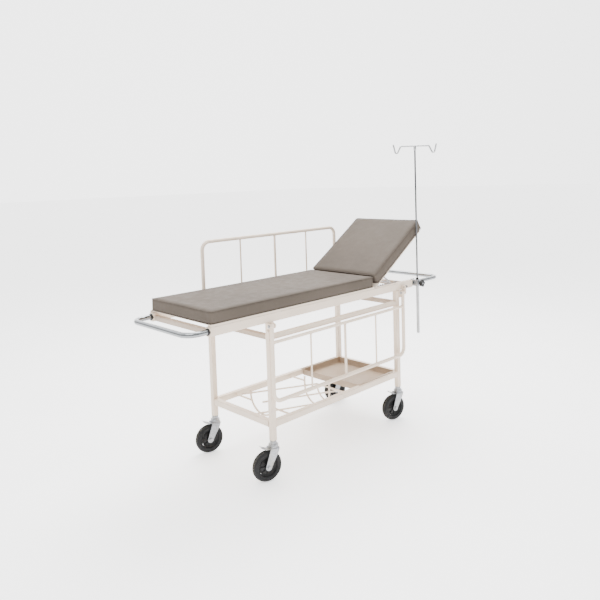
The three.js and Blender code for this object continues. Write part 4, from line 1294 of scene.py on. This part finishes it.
def make_wheel(name, matrix):
    """A moulded tyre with two tread grooves, on a ribbed plastic wheel centre."""
    half = 0.017
    side = [(r, inset - half) for r, inset in (
        (0.0465, 0.004), (0.0485, 0.0012), (0.052, 0.0), (0.056, 0.0), (0.0568, 0.0007),
        (0.0585, 0.0007), (0.0593, 0.0), (0.0645, 0.0002), (0.0685, 0.0016), (0.0715, 0.0042),
        (0.0734, 0.0078))]
    tread = [(0.0743, -0.0068), (0.0746, -0.0062), (0.0732, -0.0056), (0.0732, -0.0048),
             (0.0748, -0.0042), (WHEEL, -0.0016)]
    profile = side + tread
    profile += [(r, -z) for r, z in reversed(profile)]
    wear_and_seam_shade = range(len(side) - 1, len(profile) - len(side) + 1)
    bm = start_mesh()
    lathe(bm, profile, matrix, 72, set(wear_and_seam_shade))
    piece(f"tyre_{name}", bm, "rubber", f"wheel_{name}", f"caster_tyre_{name}")

    bm = start_mesh()
    bore, web = 0.0054, 0.006
    one_side = [(bore, -0.0208), (0.0128, -0.0208), (0.0138, -0.0198), (0.0158, -web - 0.001),
                (0.0175, -web), (0.036, -web), (0.0385, -web - 0.0012), (0.0415, -0.0125),
                (0.0432, -0.0134), (0.0445, -0.0128)]
    lathe(bm, one_side + [(r, -z) for r, z in reversed(one_side)], matrix, 56)
    for i in range(8):
        turn = matrix @ Matrix.Rotation(2 * math.pi * i / 8, 4, "Z")
        for way in (-1, 1):
            z0, z1 = sorted((way * (web - 0.001), way * 0.0105))
            slab(bm, (0.0145, -0.0013, z0), (0.0400, 0.0013, z1), 0.0004, turn)
    piece(f"wheel_centre_{name}", bm, "black_plastic", f"wheel_{name}", f"caster_hub_{name}")


def make_brake(name, place):
    """A pressed foot lever with rolled sides and grip ribs, its pin, and the shoe below."""
    pin = Vector((-0.013, 0, 0.153))
    profile = [(0.002, 0.0045), (-0.006, 0.0047), (-0.013, 0.0053), (-0.022, 0.0069),
               (-0.032, 0.0096), (-0.041, 0.0124), (-0.048, 0.0158), (-0.053, 0.0192),
               (-0.0565, 0.0219)]
    rows = []
    for i, (x, z) in enumerate(profile):
        after = profile[min(i + 1, len(profile) - 1)]
        before = profile[max(i - 1, 0)]
        along = Vector((after[0] - before[0], 0, after[1] - before[1])).normalized()
        up = along.cross(Y)
        up = up if up.z > 0 else -up
        width = 0.0158 * (1 - max(0.0, (i - 5) / 3) ** 2 * 0.28)
        row = []
        for j in range(9):
            share = j / 4 - 1
            drop = 0.0022 * abs(share) ** 5
            row.append((pin + Vector((x, width * share, z - drop)), up))
        rows.append(row)
    bm = start_mesh()
    thick_sheet(bm, rows, 0.0026, place)
    for x, z in ((-0.034, 0.0117), (-0.040, 0.0137), (-0.046, 0.0163)):
        a, b = (place @ (pin + Vector((x, y, z))) for y in (-0.0105, 0.0105))
        bar(bm, a, b, 0.0011, 10, 0.0006)
    a, b = (place @ (pin + Vector((0, y, 0))) for y in (-0.0245, 0.0245))
    bar(bm, a, b, 0.003, 16)
    a, b = (place @ (pin + Vector((0, y, 0))) for y in (-0.0155, 0.0155))
    bar(bm, a, b, 0.0054, 18, 0.0008)
    shoe_low, shoe_high = Vector((-0.031, -0.012, 0.0018)), Vector((-0.020, 0.012, 0.0078))
    slab(bm, pin + shoe_low, pin + shoe_high, 0.0006, place)
    piece(f"brake_lever_{name}", bm, "zinc", f"brake_{name}", f"caster_brake_{name}")


# ------------------------------------------------------------------ studio
def make_studio():
    bm = start_mesh()
    size = 60.0
    for x, y in ((-size, -size), (size, -size), (size, size), (-size, size)):
        bm.verts.new((x, y, 0))
    bm.faces.new(bm.verts)
    mesh = bpy.data.meshes.new("floor")
    bm.to_mesh(mesh)
    bm.free()
    mesh.materials.append(painted_floor("pale_floor"))
    floor = bpy.data.objects.new("floor", mesh)
    bpy.context.scene.collection.objects.link(floor)

    world = bpy.data.worlds.new("studio")
    world.use_nodes = True
    w = Nodes(world.node_tree)
    background = w.tree.nodes["Background"]
    background.inputs["Color"].default_value = (1.0, 1.0, 1.0, 1.0)
    direction = w.add("ShaderNodeTexCoord").outputs["Generated"]
    open_light = w.math("ADD", w.along(direction, (0.9, 1.4, 0.4)), 2.4)
    height = w.math("ABSOLUTE", w.along(direction, Z))
    low_band = w.levels(height, 0.18, 0.60, 1.0, 0.0, smooth=True)
    off_axis = w.levels(w.along(direction, (0.707, 0.707, 0)), 0.45, 0.80, 1.0, 0.0, smooth=True)
    walls = w.math("MULTIPLY", w.math("MULTIPLY", low_band, off_axis), 0.65)
    strength = w.math("MULTIPLY", open_light, w.math("SUBTRACT", 1.0, walls))
    w.link(strength, background.inputs["Strength"])
    bpy.context.scene.world = world
    soft_lamp("key", (-2.2, -1.2, 3.4), 2.4, 70)
    soft_lamp("top", (1.4, 1.0, 3.8), 2.6, 260)


def soft_lamp(name, place, size, power):
    data = bpy.data.lights.new(name, "AREA")
    data.shape = "SQUARE"
    data.size = size
    data.energy = power
    lamp = bpy.data.objects.new(name, data)
    lamp.location = place
    target = Vector((0, 0, 0.7))
    lamp.rotation_euler = (target - Vector(place)).to_track_quat("-Z", "Y").to_euler()
    bpy.context.scene.collection.objects.link(lamp)


def make_camera():
    """A standing view over the foot corner on the near side."""
    azimuth, pitch, roll = math.radians(44.19), math.radians(3.9), math.radians(-1.84)
    distance = 3.27
    target = Vector((-0.0865, -0.0066, 1.2174))
    ahead = Vector((math.sin(azimuth) * math.cos(pitch), math.cos(azimuth) * math.cos(pitch),
                    -math.sin(pitch)))
    data = bpy.data.cameras.new("camera")
    data.lens = 36.5
    data.sensor_width = 36.0
    data.shift_x = 0.0017
    data.shift_y = -0.133
    data.dof.use_dof = False
    camera = bpy.data.objects.new("camera", data)
    rotation = ahead.to_track_quat("-Z", "Y") @ Quaternion((0, 0, 1), roll)
    camera.rotation_mode = "QUATERNION"
    camera.rotation_quaternion = rotation
    camera.location = target - ahead * distance
    bpy.context.scene.collection.objects.link(camera)
    bpy.context.scene.camera = camera


# ------------------------------------------------------------------ assembly
make_camera()
make_studio()
make_square_tubes()
make_legs()
make_welds()
make_deck_panel()
make_mattress()
make_backrest()
make_prop()
make_handles()
make_side_rails()
make_latches()
make_drip_pole()
make_tray()
make_cradle()
for corner_name in CORNERS:
    make_caster(corner_name)
for kept, kept_look in (("prop_rack_near", "zinc"), ("prop_rack_far", "zinc"),
                        ("backrest_hinge_rod", "steel")):
    frame["nodes"][kept].data.materials.clear()
    frame["nodes"][kept].data.materials.append(looks[kept_look])
